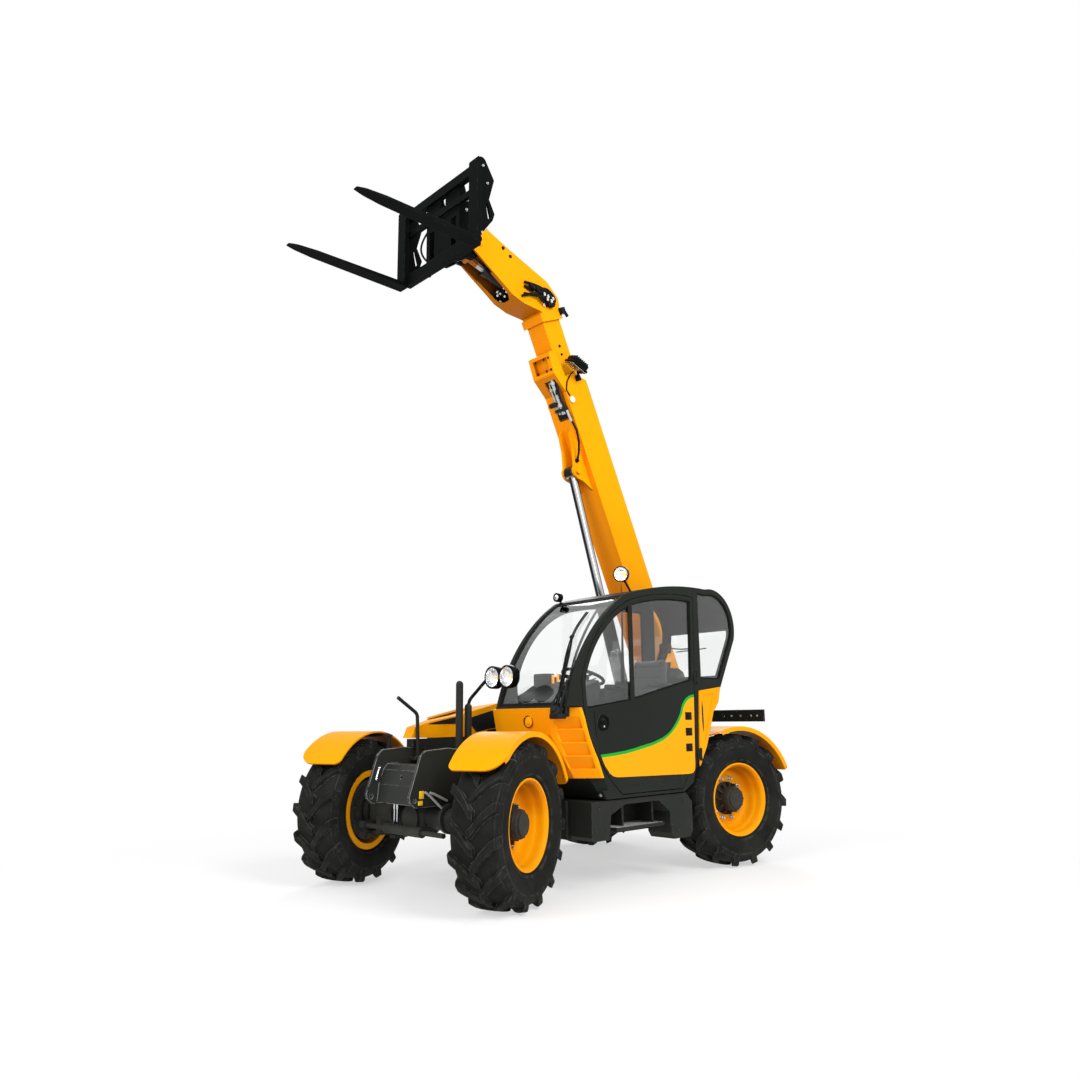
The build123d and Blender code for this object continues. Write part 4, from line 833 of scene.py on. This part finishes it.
def plump(obj, voxel, cap, pressure=4.0):
    # the pad swells like stuffed cloth, no point by more than the cap
    shaped(obj, 'REMESH', mode='VOXEL', voxel_size=voxel)
    start = [v.co.copy() for v in obj.data.vertices]
    cloth = obj.modifiers.new("cloth", 'CLOTH')
    cloth.settings.use_pressure = True
    cloth.settings.uniform_pressure_force = pressure
    cloth.settings.quality = 5
    cloth.settings.effector_weights.gravity = 0
    cloth.point_cache.frame_start, cloth.point_cache.frame_end = 1, 20
    for count in range(1, 21):
        bpy.context.scene.frame_set(count)
    swollen = obj.evaluated_get(bpy.context.evaluated_depsgraph_get()).to_mesh()
    ends = [v.co.copy() for v in swollen.vertices]
    obj.modifiers.remove(cloth)
    for vert, first, last in zip(obj.data.vertices, start, ends):
        move = last - first
        if move.length > cap:
            move = move.normalized() * cap
        vert.co = first + move
    bpy.context.scene.frame_set(1)
    return obj


def sewn(obj, lines, depth=0.007, width=0.009):
    # channels drawn in along (axis, place) lines, over the whole face that looks at the driver
    for vert in obj.data.vertices:
        for axis, place, looks in lines:
            gap = abs(vert.co[axis] - place)
            if gap < width * 2 and vert.normal.dot(looks) > 0.45:
                vert.co -= Vector(looks) * depth * math.exp(-(gap / width) ** 2 * 1.5)


def softened(obj):
    shaped(obj, 'SUBSURF', levels=1, render_levels=1)
    bpy.ops.object.shade_smooth()
    return obj


seat = {"x": -0.420 + setBack, "y": 0.640, "top": 1.450, "lean": math.radians(-10)}
cushion = boxed("seat_pad", (seat["x"] - 0.190, seat["y"] - 0.222, seat["top"] - 0.108),
                (seat["x"] + 0.238, seat["y"] + 0.222, seat["top"] - 0.012), 0.034, 5)
plump(cushion, 0.008, 0.012)
up = Vector((0, 0, 1))
sewn(cushion, [(1, seat["y"] - 0.135, up), (1, seat["y"] + 0.135, up), (0, seat["x"] - 0.06, up),
               (0, seat["x"] + 0.09, up)])
softened(cushion)
finished(cushion, seatCloth, "chassis", ["seat_cushion"])

backPivot = Matrix.Translation((seat["x"] - 0.250, seat["y"], seat["top"] + 0.305))
atBack = backPivot @ Matrix.Rotation(seat["lean"], 4, 'Y')
backPad = boxed("seat_back_pad", (-0.046, -0.212, -0.270), (0.044, 0.212, 0.125), 0.036, 5)
for vert in backPad.data.vertices:
    # the shoulders draw in towards the top
    share = max(0.0, (vert.co.z + 0.05) / 0.2)
    vert.co.y *= 1 - 0.14 * min(1.0, share)
plump(backPad, 0.008, 0.012)
ahead = Vector((1, 0, 0))
sewn(backPad, [(1, -0.12, ahead), (1, 0.12, ahead), (2, -0.16, ahead), (2, -0.06, ahead), (2, 0.04, ahead)])
softened(backPad)
settle(backPad, atBack)
finished(backPad, seatCloth, "chassis", ["seat_back"])
shellBack = boxed("seat_shell", (-0.056, -0.200, -0.275), (-0.046, 0.200, 0.105), 0.004)
settle(shellBack, atBack)
rests = []
for side in (-1, 1):
    y = seat["y"] + side * 0.262
    rests.append(boxed("rest", (seat["x"] - 0.21, y - 0.026, seat["top"] + 0.165),
                       (seat["x"] + 0.08, y + 0.026, seat["top"] + 0.205), 0.014, 4))
    rests.append(boxed("pivot", (seat["x"] - 0.235, y - 0.018, seat["top"] + 0.10),
                       (seat["x"] - 0.195, y + 0.018, seat["top"] + 0.195), 0.008, 2))
finished(joined("seat_trim", [shellBack] + rests), blackPlastic, "chassis")

helm = {"at": (0.230 + setBack, 0.640, 1.700), "up": (-0.342, 0, 0.940)}
atHelm = facing(helm["at"], helm["up"])
bpy.ops.mesh.primitive_torus_add(major_radius=0.180, minor_radius=0.0145, major_segments=64, minor_segments=14)
ring = bpy.context.active_object
bpy.ops.object.shade_smooth()
boss = turned("boss", [(0.0, -0.028), (0.036, -0.028), (0.040, -0.020), (0.052, -0.006), (0.054, 0.004), (0.046, 0.012),
                       (0.0, 0.015)], 32)
spokes = []
for angle in (20, 160, 270):
    a = math.radians(angle)
    spokes.append(piped("spoke", [(r * math.cos(a), r * math.sin(a), h) for r, h in (
        (0.03, 0.0), (0.09, -0.008), (0.14, -0.006), (0.176, 0.0))], 0.010, 12))
knob = turned("knob", [(0.0, 0.010), (0.009, 0.012), (0.009, 0.028), (0.020, 0.034), (0.023, 0.046), (0.018, 0.058),
                       (0.0, 0.062)], 24)
settle(knob, Matrix.Translation((0.165, 0.075, 0)))
finished(settle(joined("helm", [ring, boss] + spokes + [knob]), atHelm), blackPlastic, "chassis",
         ["steering_wheel"])
stalks = [piped("stalk", [(0.262 + setBack, 0.640 + s * 0.03, 1.640), (0.270 + setBack, 0.640 + s * 0.11, 1.660),
                          (0.250 + setBack, 0.640 + s * 0.17, 1.680)], 0.0055) for s in (-1, 1)]
gaiter = turned("gaiter", [(0.0, -0.02), (0.055, -0.02), (0.052, 0.03), (0.045, 0.034), (0.045, 0.062), (0.030, 0.075),
                           (0.0, 0.075)], 28)
settle(gaiter, facing((0.268 + setBack, 0.640, 1.596), helm["up"]))

hood = plated("dashTop", sideOutline([
    (0.808, 1.462), (0.812, 1.486), (0.700, 1.534), (0.600, 1.577), (0.500, 1.622), (0.430, 1.658), (0.385, 1.655),
    (0.372, 1.622), (0.420, 1.585), (0.520, 1.545)]), 0.690, Matrix.Translation((0, 0.285, 0)) @ outwards, 0.012)
panelFrame = boxed("panelFrame", (0.392 + setBack, 0.305, 1.575), (0.508 + setBack, 0.458, 1.730), 0.010, 3)
levers = []
for x, y, top in ((0.352, 0.475, 1.700), (0.362, 0.530, 1.690), (0.350, 0.420, 1.680)):
    levers.append(piped("lever", moved([(x + 0.04, y, 1.600), (x + 0.015, y, 1.650), (x, y, top)]), 0.006))
    levers.append(settle(turned("grip", [(0.0, -0.02), (0.010, -0.02), (0.014, 0.0), (0.013, 0.022), (0.0, 0.028)], 16),
                         Matrix.Translation((x + setBack, y, top))))
finished(joined("dash_trim", [hood, panelFrame, gaiter] + stalks + levers), blackPlastic, "chassis")

amberBits = []
for x, y, z, tall in ((0.455, 0.500, 1.640, 0.075), (0.430, 0.535, 1.635, 0.090), (0.405, 0.575, 1.625, 0.070),
                      (0.385, 0.605, 1.615, 0.055)):
    amberBits.append(boxed("flap", (x + setBack - 0.006, y - 0.013, z - 0.02),
                           (x + setBack + 0.006, y + 0.013, z + tall), 0.004, 2))
finished(joined("dash_switches", amberBits), yellowPaint, "chassis")

console = boxed("console", (-0.330 + setBack, 0.268, 1.30), (0.020 + setBack, 0.385, 1.545), 0.025, 3)
boot = turned("boot", [(0.0, 0.0), (0.042, 0.0), (0.040, 0.012), (0.026, 0.018), (0.030, 0.026), (0.018, 0.036),
                       (0.012, 0.050), (0.0, 0.052)], 24)
settle(boot, Matrix.Translation((-0.045 + setBack, 0.330, 1.543)))
stick = piped("stick", moved([(-0.045, 0.330, 1.58), (-0.040, 0.330, 1.65), (-0.030, 0.332, 1.70)]), 0.009)
fist = turned("fist", [(0.0, -0.05), (0.018, -0.048), (0.024, -0.02), (0.021, 0.02), (0.026, 0.044), (0.018, 0.058),
                       (0.0, 0.060)], 24)
settle(fist, facing((-0.026 + setBack, 0.334, 1.725), (0.15, 0.05, 1)))
pocket = boxed("pocket", (-0.560 + setBack, 0.268, 1.36), (-0.350 + setBack, 0.372, 1.62), 0.020, 3)
finished(joined("side_console", [console, boot, stick, fist, pocket]), blackPlastic, "chassis")
edgeStrip = boxed("console_edge", (-0.160 + setBack, 0.386, 1.528), (0.010 + setBack, 0.392, 1.540), 0.002)
finished(edgeStrip, yellowPaint, "chassis")

# rear window wiper and its motor
back = [piped("rear_arm", moved([(-1.235, 0.44, 2.03), (-1.235, 0.52, 2.015), (-1.235, 0.62, 2.005),
                                 (-1.235, 0.80, 2.012)]), 0.007),
        piped("rear_blade", moved([(-1.245, 0.52, 1.985), (-1.245, 0.68, 1.99), (-1.245, 0.88, 2.00)]), 0.006)]
back.append(boxed("rear_motor", (-1.235 + setBack, 0.36, 1.975), (-1.165 + setBack, 0.47, 2.075), 0.014, 3))
finished(joined("rear_wiper", back), blackPlastic, "chassis")
print("cab inside ready")

# ---- nose, bonnet side and fairing ----
reflectors = [boxed("reflector", (x - dx + setBack, 0.3095, z - dz), (x + dx + setBack, 0.3185, z + dz), 0.006, 3)
              for x, z, dx, dz in ((1.690, 0.788, 0.021, 0.029), (1.700, 0.728, 0.021, 0.017))]
finished(joined("nose_reflectors", reflectors), amberLens, "chassis")
link = piped("nose_link", moved([(1.690, -0.276, 0.968), (1.700, -0.274, 0.930), (1.717, -0.276, 0.884)]), 0.008, 12)
balls = []
for x, z in ((1.690, 0.968), (1.717, 0.884)):
    bpy.ops.mesh.primitive_uv_sphere_add(segments=20, ring_count=12, radius=0.014, location=(x + setBack, -0.273, z))
    ball = bpy.context.active_object
    bpy.ops.object.shade_smooth()
    balls.append(settle(ball))
finished(joined("nose_link", [link] + balls), chrome, "chassis")
pipes = [piped("pipe", moved(path), 0.0100, 12) for path in (
    [(1.665, 0.322, 0.806), (1.640, 0.322, 0.796), (1.560, 0.322, 0.728), (1.485, 0.322, 0.664)],
    [(1.615, 0.322, 0.800), (1.590, 0.322, 0.794), (1.520, 0.322, 0.762), (1.450, 0.322, 0.730)])]
finished(joined("nose_pipes", pipes), steelPipe, "chassis")

boltHead = [(0.0, -0.002), (0.014, -0.002), (0.014, 0.0005), (0.0105, 0.001), (0.0105, 0.008), (0.009, 0.0095),
            (0.0, 0.0095)]


def bolted(name, spots, towards, paint, body, size=1.0):
    # hexagon heads with washers on a face
    heads = []
    for at in spots:
        head = turned("head", [(r * size, h * size) for r, h in boltHead], 6 if len(heads) % 2 else 12)
        heads.append(settle(head, facing(at, towards, 0.4 * len(heads))))
    return finished(joined(name, heads), paint, body)


bolted("nose_bolts", moved([(1.30, 0.311, 0.80), (1.30, 0.311, 0.95), (1.10, 0.311, 0.80), (1.10, 0.311, 0.95)]),
       (0, 1, 0), zinc, "chassis")

# a black plate and patch on the bonnet's side: painted shadow in the gap under the bonnet's edge, with slats on the
# plate
onBonnet = Matrix.Translation((0, -0.2495, 0)) @ outwards
bonnetShadow = plated("bonnet_side_shadow", sideOutline([(0.790, 1.335), (0.755, 1.368), (0.490, 1.432), (0.300, 1.455),
                                            (0.300, 1.290), (0.560, 1.262), (0.700, 1.236)]), 0.004, onBonnet, 0.001)
shadowPatch = plated("bonnet_shadow_patch", sideOutline([(1.225, 1.312), (1.215, 1.320), (0.870, 1.383), (0.845, 1.372),
                                            (0.930, 1.312)]), 0.004, onBonnet, 0.001)
slats = [boxed("slat", (0.300 + setBack, -0.247, z), (0.720 + setBack - (z - 1.25) * 0.6, -0.240, z + 0.006), 0.0015)
         for z in (1.285, 1.307, 1.329, 1.351)]
finished(joined("bonnet_side_shadow", [bonnetShadow, shadowPatch] + slats), blackPlastic, "engine_hood")

cap = turned("cap", [(0.0, -0.004), (0.040, -0.004), (0.042, 0.0), (0.042, 0.004), (0.038, 0.006), (0.024, 0.006),
                     (0.021, 0.011), (0.0, 0.013)], 36)
hole = turned("hole", [(0.0, -0.0075), (0.054, -0.0075), (0.054, -0.003), (0.0, -0.0028)], 40)
seatAt = Matrix.Translation((0.893 + setBack, 0.647, 1.331)) @ Matrix.Rotation(math.radians(90), 4, 'Y')
finished(settle(hole, seatAt), blackPlastic, "chassis").name = "fairing_socket"
settle(cap, seatAt @ Matrix.Translation((0.007, 0.012, 0)))
finished(cap, yellowPaint, "chassis").name = "fairing_cap"

# the hub carriers fill the inside of the steered rims
carrier = turned("carrier", [(0.140, -0.182), (0.180, -0.178), (0.196, -0.166), (0.238, -0.160), (0.249, -0.150),
                             (0.251, -0.110), (0.250, -0.090), (0.244, -0.080), (0.130, -0.080), (0.130, -0.170)],
                 48, closed=True)
settle(carrier, upright)
ribs = []
for i in range(12):
    rib = boxed("rib", (0.176, -0.181, -0.007), (0.243, -0.150, 0.007), 0.003)
    ribs.append(settle(rib, Matrix.Rotation(math.radians(30 * i + 10), 4, 'Y')))
carrier = joined("carrier", [carrier] + ribs)
for name in corners:
    matrix, outward = wheelPlace(name)
    finished(copied(carrier, name + "_carrier", outward), casting, name + "_steer")
bpy.data.objects.remove(carrier)
print("front ready")

# ---- boom, head and carriage ----
def boomPath(points):
    return [onBoom(*point) for point in points]


def nearSide(spots, half):
    return [onBoom(along, out, half) for along, out in spots]


pinCap = turned("pinCap", [(0.0, -0.002), (0.034, -0.002), (0.034, 0.004), (0.031, 0.0085), (0.016, 0.011),
                           (0.0, 0.012)], 32)
caps = [copied(pinCap, "cap", facing(onBoom(3106, -115, side * 161.5), (0, side, 0))) for side in (1, -1)]
bpy.data.objects.remove(pinCap)
finished(joined("boom_pin_caps", caps), whiteCap, "boom")

lines = [piped("line", boomPath(path), radius, sides) for path, radius, sides in (
    ([(3346, -204, 62), (3315, -216, 62), (3190, -205, 56), (3080, -196, 52), (3010, -178, 50)], 0.017, 14),
    ([(3342, -196, 14), (3280, -206, 12), (3160, -196, 4), (3060, -188, 0), (3000, -176, 0)], 0.013, 12),
    ([(3020, -196, 118), (2960, -204, 128), (2900, -200, 134)], 0.013, 12))]
unions = []
for along, out, y, size in ((3318, -214, 62, 1.5), (3085, -197, 52, 1.5), (3260, -204, 11, 1.2), (3075, -190, 1, 1.2),
                            (3006, -178, 50, 1.4)):
    unions.append(settle(turned("union", [(0.0, -0.016), (0.015 * size, -0.016), (0.0165 * size, -0.013),
                                          (0.0165 * size, 0.013), (0.015 * size, 0.016), (0.0, 0.016)], 6),
                         facing(onBoom(along, out, y), alongBoom(1, 0.06, 0))))
finished(joined("boom_steel_pipes", lines + unions), steelPipe, "boom")
clamps = []
for along, out, y, size in ((3350, -214, -6, (0.030, 0.050, 0.120)), (3040, -206, -40, (0.034, 0.052, 0.150)),
                            (3222, -222, 26, (0.050, 0.034, 0.060))):
    clamps.append(settle(boxed("clamp", (-size[0] / 2, 0, 0), (size[0] / 2, size[1], size[2]), 0.006, 2),
                         Matrix.Translation(onBoom(along, out, y)) @ boomTurn))
clamps.append(settle(turned("swivel", [(0.0, -0.04), (0.022, -0.04), (0.026, -0.034), (0.026, 0.034), (0.022, 0.04),
                                       (0.014, 0.044), (0.0, 0.044)], 24), facing(onBoom(3110, -226, -14), (0, 1, 0))))
clamps.append(piped("line", boomPath([(3345, -180, 100), (3300, -206, 104), (3200, -204, 96), (3120, -196, 84),
                                      (3030, -186, 92)]), 0.011, 10))
finished(joined("boom_clamps", clamps), blackPlastic, "boom")

bolted("telescope_bolts", nearSide([(3661, 4), (3574, -4)], 113), (0, 1, 0), blackPlastic, "telescope", 1.1)
bolted("head_bolts", nearSide([(4690, -379), (4602, -318)], 140.5), (0, 1, 0), blackPlastic, "telescope", 1.4)
chin = [(3450, -240, 60), (3570, -231, 60), (3450, -240, -60), (3570, -231, -60), (3450, -240, 125), (3570, -231, 125)]
bolted("chin_bolts", [onBoom(*spot) for spot in chin], alongBoom(0.05, -1, 0), blackPlastic, "boom", 1.0)

# white nipples on the black hydraulic cluster: real fittings, their white a painted glint
fittings = []
for along, out, y in ((4121, 38, 196), (4151, -25, 198), (4086, -78, 160), (4100, 2, 197), (4180, -60, 192),
                      (4126, -44, 197)):
    nipple = turned("nipple", [(0.0, -0.014), (0.012, -0.014), (0.012, 0.004), (0.008, 0.006), (0.008, 0.018),
                               (0.0, 0.018)], 12)
    fittings.append(settle(nipple, facing(onBoom(along, out, y), alongBoom(0.6, -0.5, 0.6))))
finished(joined("head_fittings_glints", fittings), whiteCap, "telescope")
lump = [boxed("lump", (-0.034, -0.028, 0), (0.034, 0.028, 0.048), 0.008, 2),
        boxed("lump", (-0.022, -0.02, 0), (0.022, 0.02, 0.058), 0.006, 2)]
settle(lump[0], Matrix.Translation(onBoom(4078, 20, 141)) @ boomTurn)
settle(lump[1], Matrix.Translation(onBoom(4120, -18, 141)) @ boomTurn)
curls = [piped("curl", boomPath(path), 0.013) for path in (
    [(4150, -10, 176), (4214, -52, 190), (4260, -130, 184), (4262, -214, 160), (4300, -268, 154)],
    [(4140, 26, 170), (4188, 44, 182), (4236, 10, 176), (4250, -60, 160), (4240, -120, 152)],
    [(4120, -30, 172), (4160, -110, 186), (4190, -176, 172), (4204, -226, 156)],
    [(4080, -60, 168), (4140, -120, 178), (4210, -150, 170), (4207, -250, 162), (4207, -345, 156)],
    [(4100, 40, 176), (4180, 10, 190), (4240, -50, 184), (4300, -150, 170), (4338, -252, 158)],
    [(4090, 60, 170), (4091, 92, 168), (4150, 84, 176), (4230, 20, 176), (4249, -59, 168)])]
for along, out, length in ((4225, -120, 0.040), (4180, -40, 0.050), (4270, -190, 0.034)):
    joint = turned("joint", [(0.0, -length), (0.017, -length), (0.020, -length + 0.004), (0.020, length - 0.004),
                             (0.017, length), (0.0, length)], 16)
    curls.append(settle(joint, facing(onBoom(along, out, 180), alongBoom(0.75, -0.65, 0))))
finished(joined("head_curls", lump + curls), hoseRubber, "telescope")

# hoses and unions crowded behind the lower end of the slot
inSlot = [piped("slotHose", boomPath(path), 0.012) for path in (
    [(4180, -300, 84), (4236, -386, 90), (4282, -430, 70), (4300, -418, 34), (4262, -372, 14)],
    [(4180, -310, -84), (4240, -392, -88), (4288, -436, -60), (4306, -420, -24), (4270, -380, -4)],
    [(4176, -300, 40), (4228, -380, 44), (4262, -420, 10), (4292, -436, -10), (4320, -440, 50), (4350, -430, 92)],
    [(4176, -306, -40), (4222, -372, -50), (4256, -412, -30), (4290, -444, 20), (4324, -446, -50), (4356, -436, -92)])]
finished(joined("slot_hoses", inSlot), hoseRubber, "telescope")
# white plugs on the fittings in the slot: real fittings, their white a painted glint
glintPlugs = [settle(turned("plug", [(0.0, -0.01), (0.012, -0.01), (0.012, 0.008), (0.008, 0.012), (0.0, 0.012)], 6),
                 facing(onBoom(along, out, y), alongBoom(-0.4, -0.9, 0))) for along, out, y in (
    (4236, -398, 88), (4288, -444, 68), (4262, -424, 8), (4300, -448, -12), (4244, -404, -86), (4296, -450, -58),
    (4330, -452, 58), (4326, -456, -40))]
finished(joined("slot_fittings_glints", glintPlugs), whiteCap, "telescope")

webX, webZ = 1.3054 + setBack, 6.2
carried = [piped("carriageHose", path, 0.010) for path in (
    [(webX - 0.03, -0.04, 5.98), (webX - 0.05, -0.06, 6.12), (webX - 0.02, -0.10, 6.255), (webX - 0.01, -0.18, 6.262),
     (webX - 0.03, -0.22, 6.14)],
    [(webX - 0.03, 0.03, 5.96), (webX - 0.06, 0.05, 6.12), (webX - 0.02, 0.02, 6.25), (webX - 0.01, -0.05, 6.262),
     (webX - 0.04, -0.08, 6.10)],
    [(webX + 0.01, -0.26, 5.62), (webX + 0.03, -0.33, 5.70), (webX + 0.02, -0.34, 5.85), (webX + 0.0, -0.26, 5.93)])]
for y in (-0.30, -0.24, 0.20, 0.30):
    carried.append(boxed("coupler", (webX - 0.045, y - 0.024, webZ + 0.03), (webX + 0.005, y + 0.024, webZ + 0.085),
                         0.008, 2))
finished(joined("carriage_hoses", carried), hoseRubber, "carriage")
bolted("carriage_bolts", [(webX - 0.06, side * 0.2535, z) for side in (1, -1) for z in (5.62, 5.70, 5.95, 6.05)],
       (0, 1, 0), zinc, "carriage", 1.1)
plateX = 1.3654 + setBack
bolted("end_plate_bolts", [(plateX - dx, 0.5695, z) for dx, z in (
    (0.06, 6.215), (0.11, 6.06), (0.10, 5.60), (0.045, 5.55))], (0, 1, 0), zinc, "carriage", 0.9)
print("boom ready")

# ---- rear, skirt and trim ----
rear = {"face": -2.080 + setBack}
lights = {"red": [], "amber": [], "case": []}
for side in (1, -1):
    for kind, y0, y1 in (("red", 0.30, 0.40), ("amber", 0.41, 0.455)):
        lights[kind].append(boxed(kind, (rear["face"] - 0.026, min(side * y0, side * y1), 1.315),
                                  (rear["face"] - 0.006, max(side * y0, side * y1), 1.395), 0.008, 3))
    lights["case"].append(boxed("case", (rear["face"] - 0.010, min(side * 0.29, side * 0.465), 1.305),
                                (rear["face"] + 0.001, max(side * 0.29, side * 0.465), 1.405), 0.004))
finished(joined("rear_red_lights", lights["red"]), redLens, "chassis")
finished(joined("rear_amber_lights", lights["amber"]), amberLens, "chassis")
lights["case"].append(boxed("plateHolder", (rear["face"] - 0.004, -0.245, 1.300),
                            (rear["face"] + 0.001, 0.245, 1.410), 0.004))
finished(joined("rear_light_cases", lights["case"]), blackPlastic, "chassis")
blank = boxed("blank_plate", (rear["face"] - 0.008, -0.230, 1.308), (rear["face"] - 0.003, 0.230, 1.402), 0.002)
finished(blank, whiteCap, "chassis")
for name, stand, towards in (("bar_bolts", -0.001, -1), ("bar_nuts", 0.021, 1)):
    spots = [(rear["face"] + stand, side * y, 1.352) for side in (1, -1) for y in (0.569, 0.681, 0.809, 0.881)]
    bolted(name, spots, (towards, 0, 0), zinc, "chassis", 0.9)
hitchPin = turned("hitchPin", [(0.0, -0.105), (0.0135, -0.105), (0.0145, -0.098), (0.0145, 0.090), (0.024, 0.092),
                               (0.026, 0.098), (0.026, 0.112), (0.020, 0.118), (0.0, 0.118)], 28)
settle(hitchPin, Matrix.Translation((-2.150 + setBack, 0, 0.630)))
handle = piped("pinHandle", [(-2.150 + setBack, y, z) for y, z in (
    (-0.022, 0.745), (-0.030, 0.790), (0.0, 0.808), (0.030, 0.790), (0.022, 0.745))], 0.006)
finished(joined("hitch_pin", [hitchPin, handle]), zinc, "chassis")

bolted("weight_bolts", [(-2.101 + setBack, y, z) for y in (-0.24, 0.24) for z in (0.72, 0.98)], (-1, 0, 0), zinc,
       "chassis", 1.8)
bolted("skirt_bolts", [(x + setBack, 1.0605, z) for x, z in (
    (-0.388, 0.452), (0.515, 0.640), (0.560, 0.480), (0.430, 0.480), (-0.560, 0.640), (-0.640, 0.400),
    (-0.470, 0.400))], (0, 1, 0), casting, "chassis", 0.9)

bolted("tub_cap", [(0.2545, 1.028, 0.7415)], (0.83, 0, -0.56), zinc, "chassis", 1.4)

slit = plated("corner_slot", [(-1.058, -1.505), (-1.050, -1.40), (-1.054, -1.25), (-1.064, -1.21), (-1.072, -1.30),
                              (-1.070, -1.43)], 0.003, Matrix.Translation((0, 1.0905, 0)) @ outwards, 0.001)
finished(slit, blackPlastic, "chassis")

treads = []
for i in range(9):
    y = 0.838 + i * 0.024
    treads.append(boxed("tread", (-0.292 + setBack, y, 0.479), (0.292 + setBack, y + 0.008, 0.484), 0.0015))
finished(joined("step_treads", treads), zinc, "chassis")

filler = turned("filler", [(0.0, -0.01), (0.044, -0.01), (0.046, -0.004), (0.046, 0.020), (0.042, 0.026),
                           (0.0, 0.028)], 32)
grips = [settle(boxed("grip", (0.042, -0.006, -0.004), (0.050, 0.006, 0.022), 0.002),
                Matrix.Rotation(math.radians(30 * i), 4, 'Z')) for i in range(12)]
settle(joined("fuel_cap", [filler] + grips), facing((0.520 + setBack, 0.802, 0.655), (0, 1, 0)))
finished(bpy.context.active_object, blackPlastic, "chassis")

# bonnet: latches
bonnetLatch = []
for x in (-0.60 + setBack, 0.40 + setBack):
    bonnetLatch.append(boxed("catch", (x - 0.022, -1.086, 1.215), (x + 0.022, -1.074, 1.300), 0.004))
    bonnetLatch.append(boxed("toggle", (x - 0.012, -1.098, 1.222), (x + 0.012, -1.084, 1.268), 0.004))
finished(joined("bonnet_latches", bonnetLatch), blackPlastic, "chassis")
print("rear ready")

# ---- finishes of the CAD nodes ----
finishes = {
    yellowPaint: ["hood", "front_fairing", "rear_corner_panel", "outer_boom", "inner_boom",
                  "front_left_fender", "front_right_fender", "rear_left_fender", "rear_right_fender"],
    headPaint: ["boom_head"],
    nosePaint: ["nose_box"],
    chassisPaint: ["chassis_frame", "left_skirt", "cab_step", "fuel_tank", "battery_box",
                   "counterweight", "tow_hitch", "rear_lamp_bar", "engine_bay", "front_posts"],
    cabPaint: ["cab_frame", "cab_tub", "door"],
    forkSteel: ["fork_carriage", "forks"],
    casting: ["front_axle", "rear_axle", "drive_line", "engine_block", "front_left_knuckle", "front_right_knuckle",
              "rear_left_knuckle", "rear_right_knuckle"],
    cylinderPaint: ["lift_barrel", "tilt_barrel"],
    rodChrome: ["lift_rod", "levelling_cylinders"],
    tiltChrome: ["tilt_rod"],
    blackPlastic: ["seat_base", "dashboard", "steering_wheel", "seat_cushion", "seat_back"],
    hoseRubber: ["boom_hoses", "head_hoses"],
    clearGlass: ["cab_glass", "door_glass"],
    screenGlass: ["windscreen"],
}
for finish, names in finishes.items():
    for name in names:
        slots = nodes[name].data.materials
        slots.clear()
        slots.append(finish)

# ---- floor, light and camera ----
stage = {"floor": 60.0, "world": 0.42, "floorTone": 0.97, "glow": 0.55}
bpy.ops.mesh.primitive_plane_add(size=stage["floor"], location=(0, 0, 0))
floor = bpy.context.active_object
floor.name = "floor"
floorFinish, nt, surface, end = material("floorFinish")
tone = stage["floorTone"]
nt.fill(surface, {"Base Color": (tone, tone, tone, 1), "Roughness": 0.9, "Specular IOR Level": 0.1})
white = nt.add("Emission", {"Color": (1, 1, 1, 1), "Strength": 1.0})
place = nt.coords()
far = nt.ranged(nt.add("VectorMath", {0: place}, operation='LENGTH').outputs["Value"], 2.8, 5.2, stage["glow"], 1.0)
both = nt.add("MixShader", {0: far, 1: surface.outputs[0], 2: white.outputs[0]})
nt.tree.links.new(both.outputs[0], end.inputs["Surface"])
floor.data.materials.append(floorFinish)

world = bpy.data.worlds.new("studio")
bpy.context.scene.world = world
world.use_nodes = True
world.node_tree.nodes.clear()
nt = Tree(world.node_tree)
soft = nt.add("Background", {"Color": (0.95, 0.97, 1.0, 1), "Strength": stage["world"]})
seen = nt.add("Background", {"Color": (1, 1, 1, 1), "Strength": 1.0})
rays = nt.add("LightPath")
plain = nt.maths('MAXIMUM', rays.outputs["Is Camera Ray"], nt.maths('MAXIMUM', rays.outputs["Is Glossy Ray"],
                                                                  rays.outputs["Is Transmission Ray"]))
both = nt.add("MixShader", {0: plain, 1: soft.outputs[0], 2: seen.outputs[0]})
end = nt.add("OutputWorld", {"Surface": both.outputs[0]})

lamps = {
    # place, size, watts, colour
    "key": ((1.0, 9.5, 8.5), 5.0, 900, (1.0, 0.99, 0.97)),
    "fill": ((9.0, 1.5, 6.0), 5.0, 560, (0.98, 0.99, 1.0)),
    "low": ((3.5, 9.0, 1.6), 4.0, 130, (1.0, 0.99, 0.97)),
    "back": ((-8.0, -7.0, 8.0), 6.0, 520, (1.0, 1.0, 1.0)),
}
for name, (at, size, watts, colour) in lamps.items():
    bpy.ops.object.light_add(type='AREA', location=at)
    lamp = bpy.context.active_object
    lamp.name = name
    aim = Vector((0, 0, 1.0 if name == "low" else 2.4)) - Vector(at)
    lamp.rotation_euler = aim.to_track_quat('-Z', 'Y').to_euler()
    lamp.data.size, lamp.data.energy, lamp.data.color = size, watts, colour

shot = {"at": (5.5236, 5.9443, 1.3491), "azimuth": 226.67, "pitch": 11.63, "roll": -0.65, "lens": 28.917}
bpy.ops.object.camera_add(location=shot["at"])
camera = bpy.context.active_object
aim = Euler((math.radians(90 + shot["pitch"]), 0, math.radians(shot["azimuth"] - 90))).to_matrix()
camera.rotation_euler = (aim @ Matrix.Rotation(math.radians(shot["roll"]), 3, 'Z')).to_euler()
camera.data.lens, camera.data.sensor_width = shot["lens"], 36
camera.data.clip_end = 200
bpy.context.scene.camera = camera
bpy.context.scene.view_settings.view_transform = 'Standard'
print("stage ready")
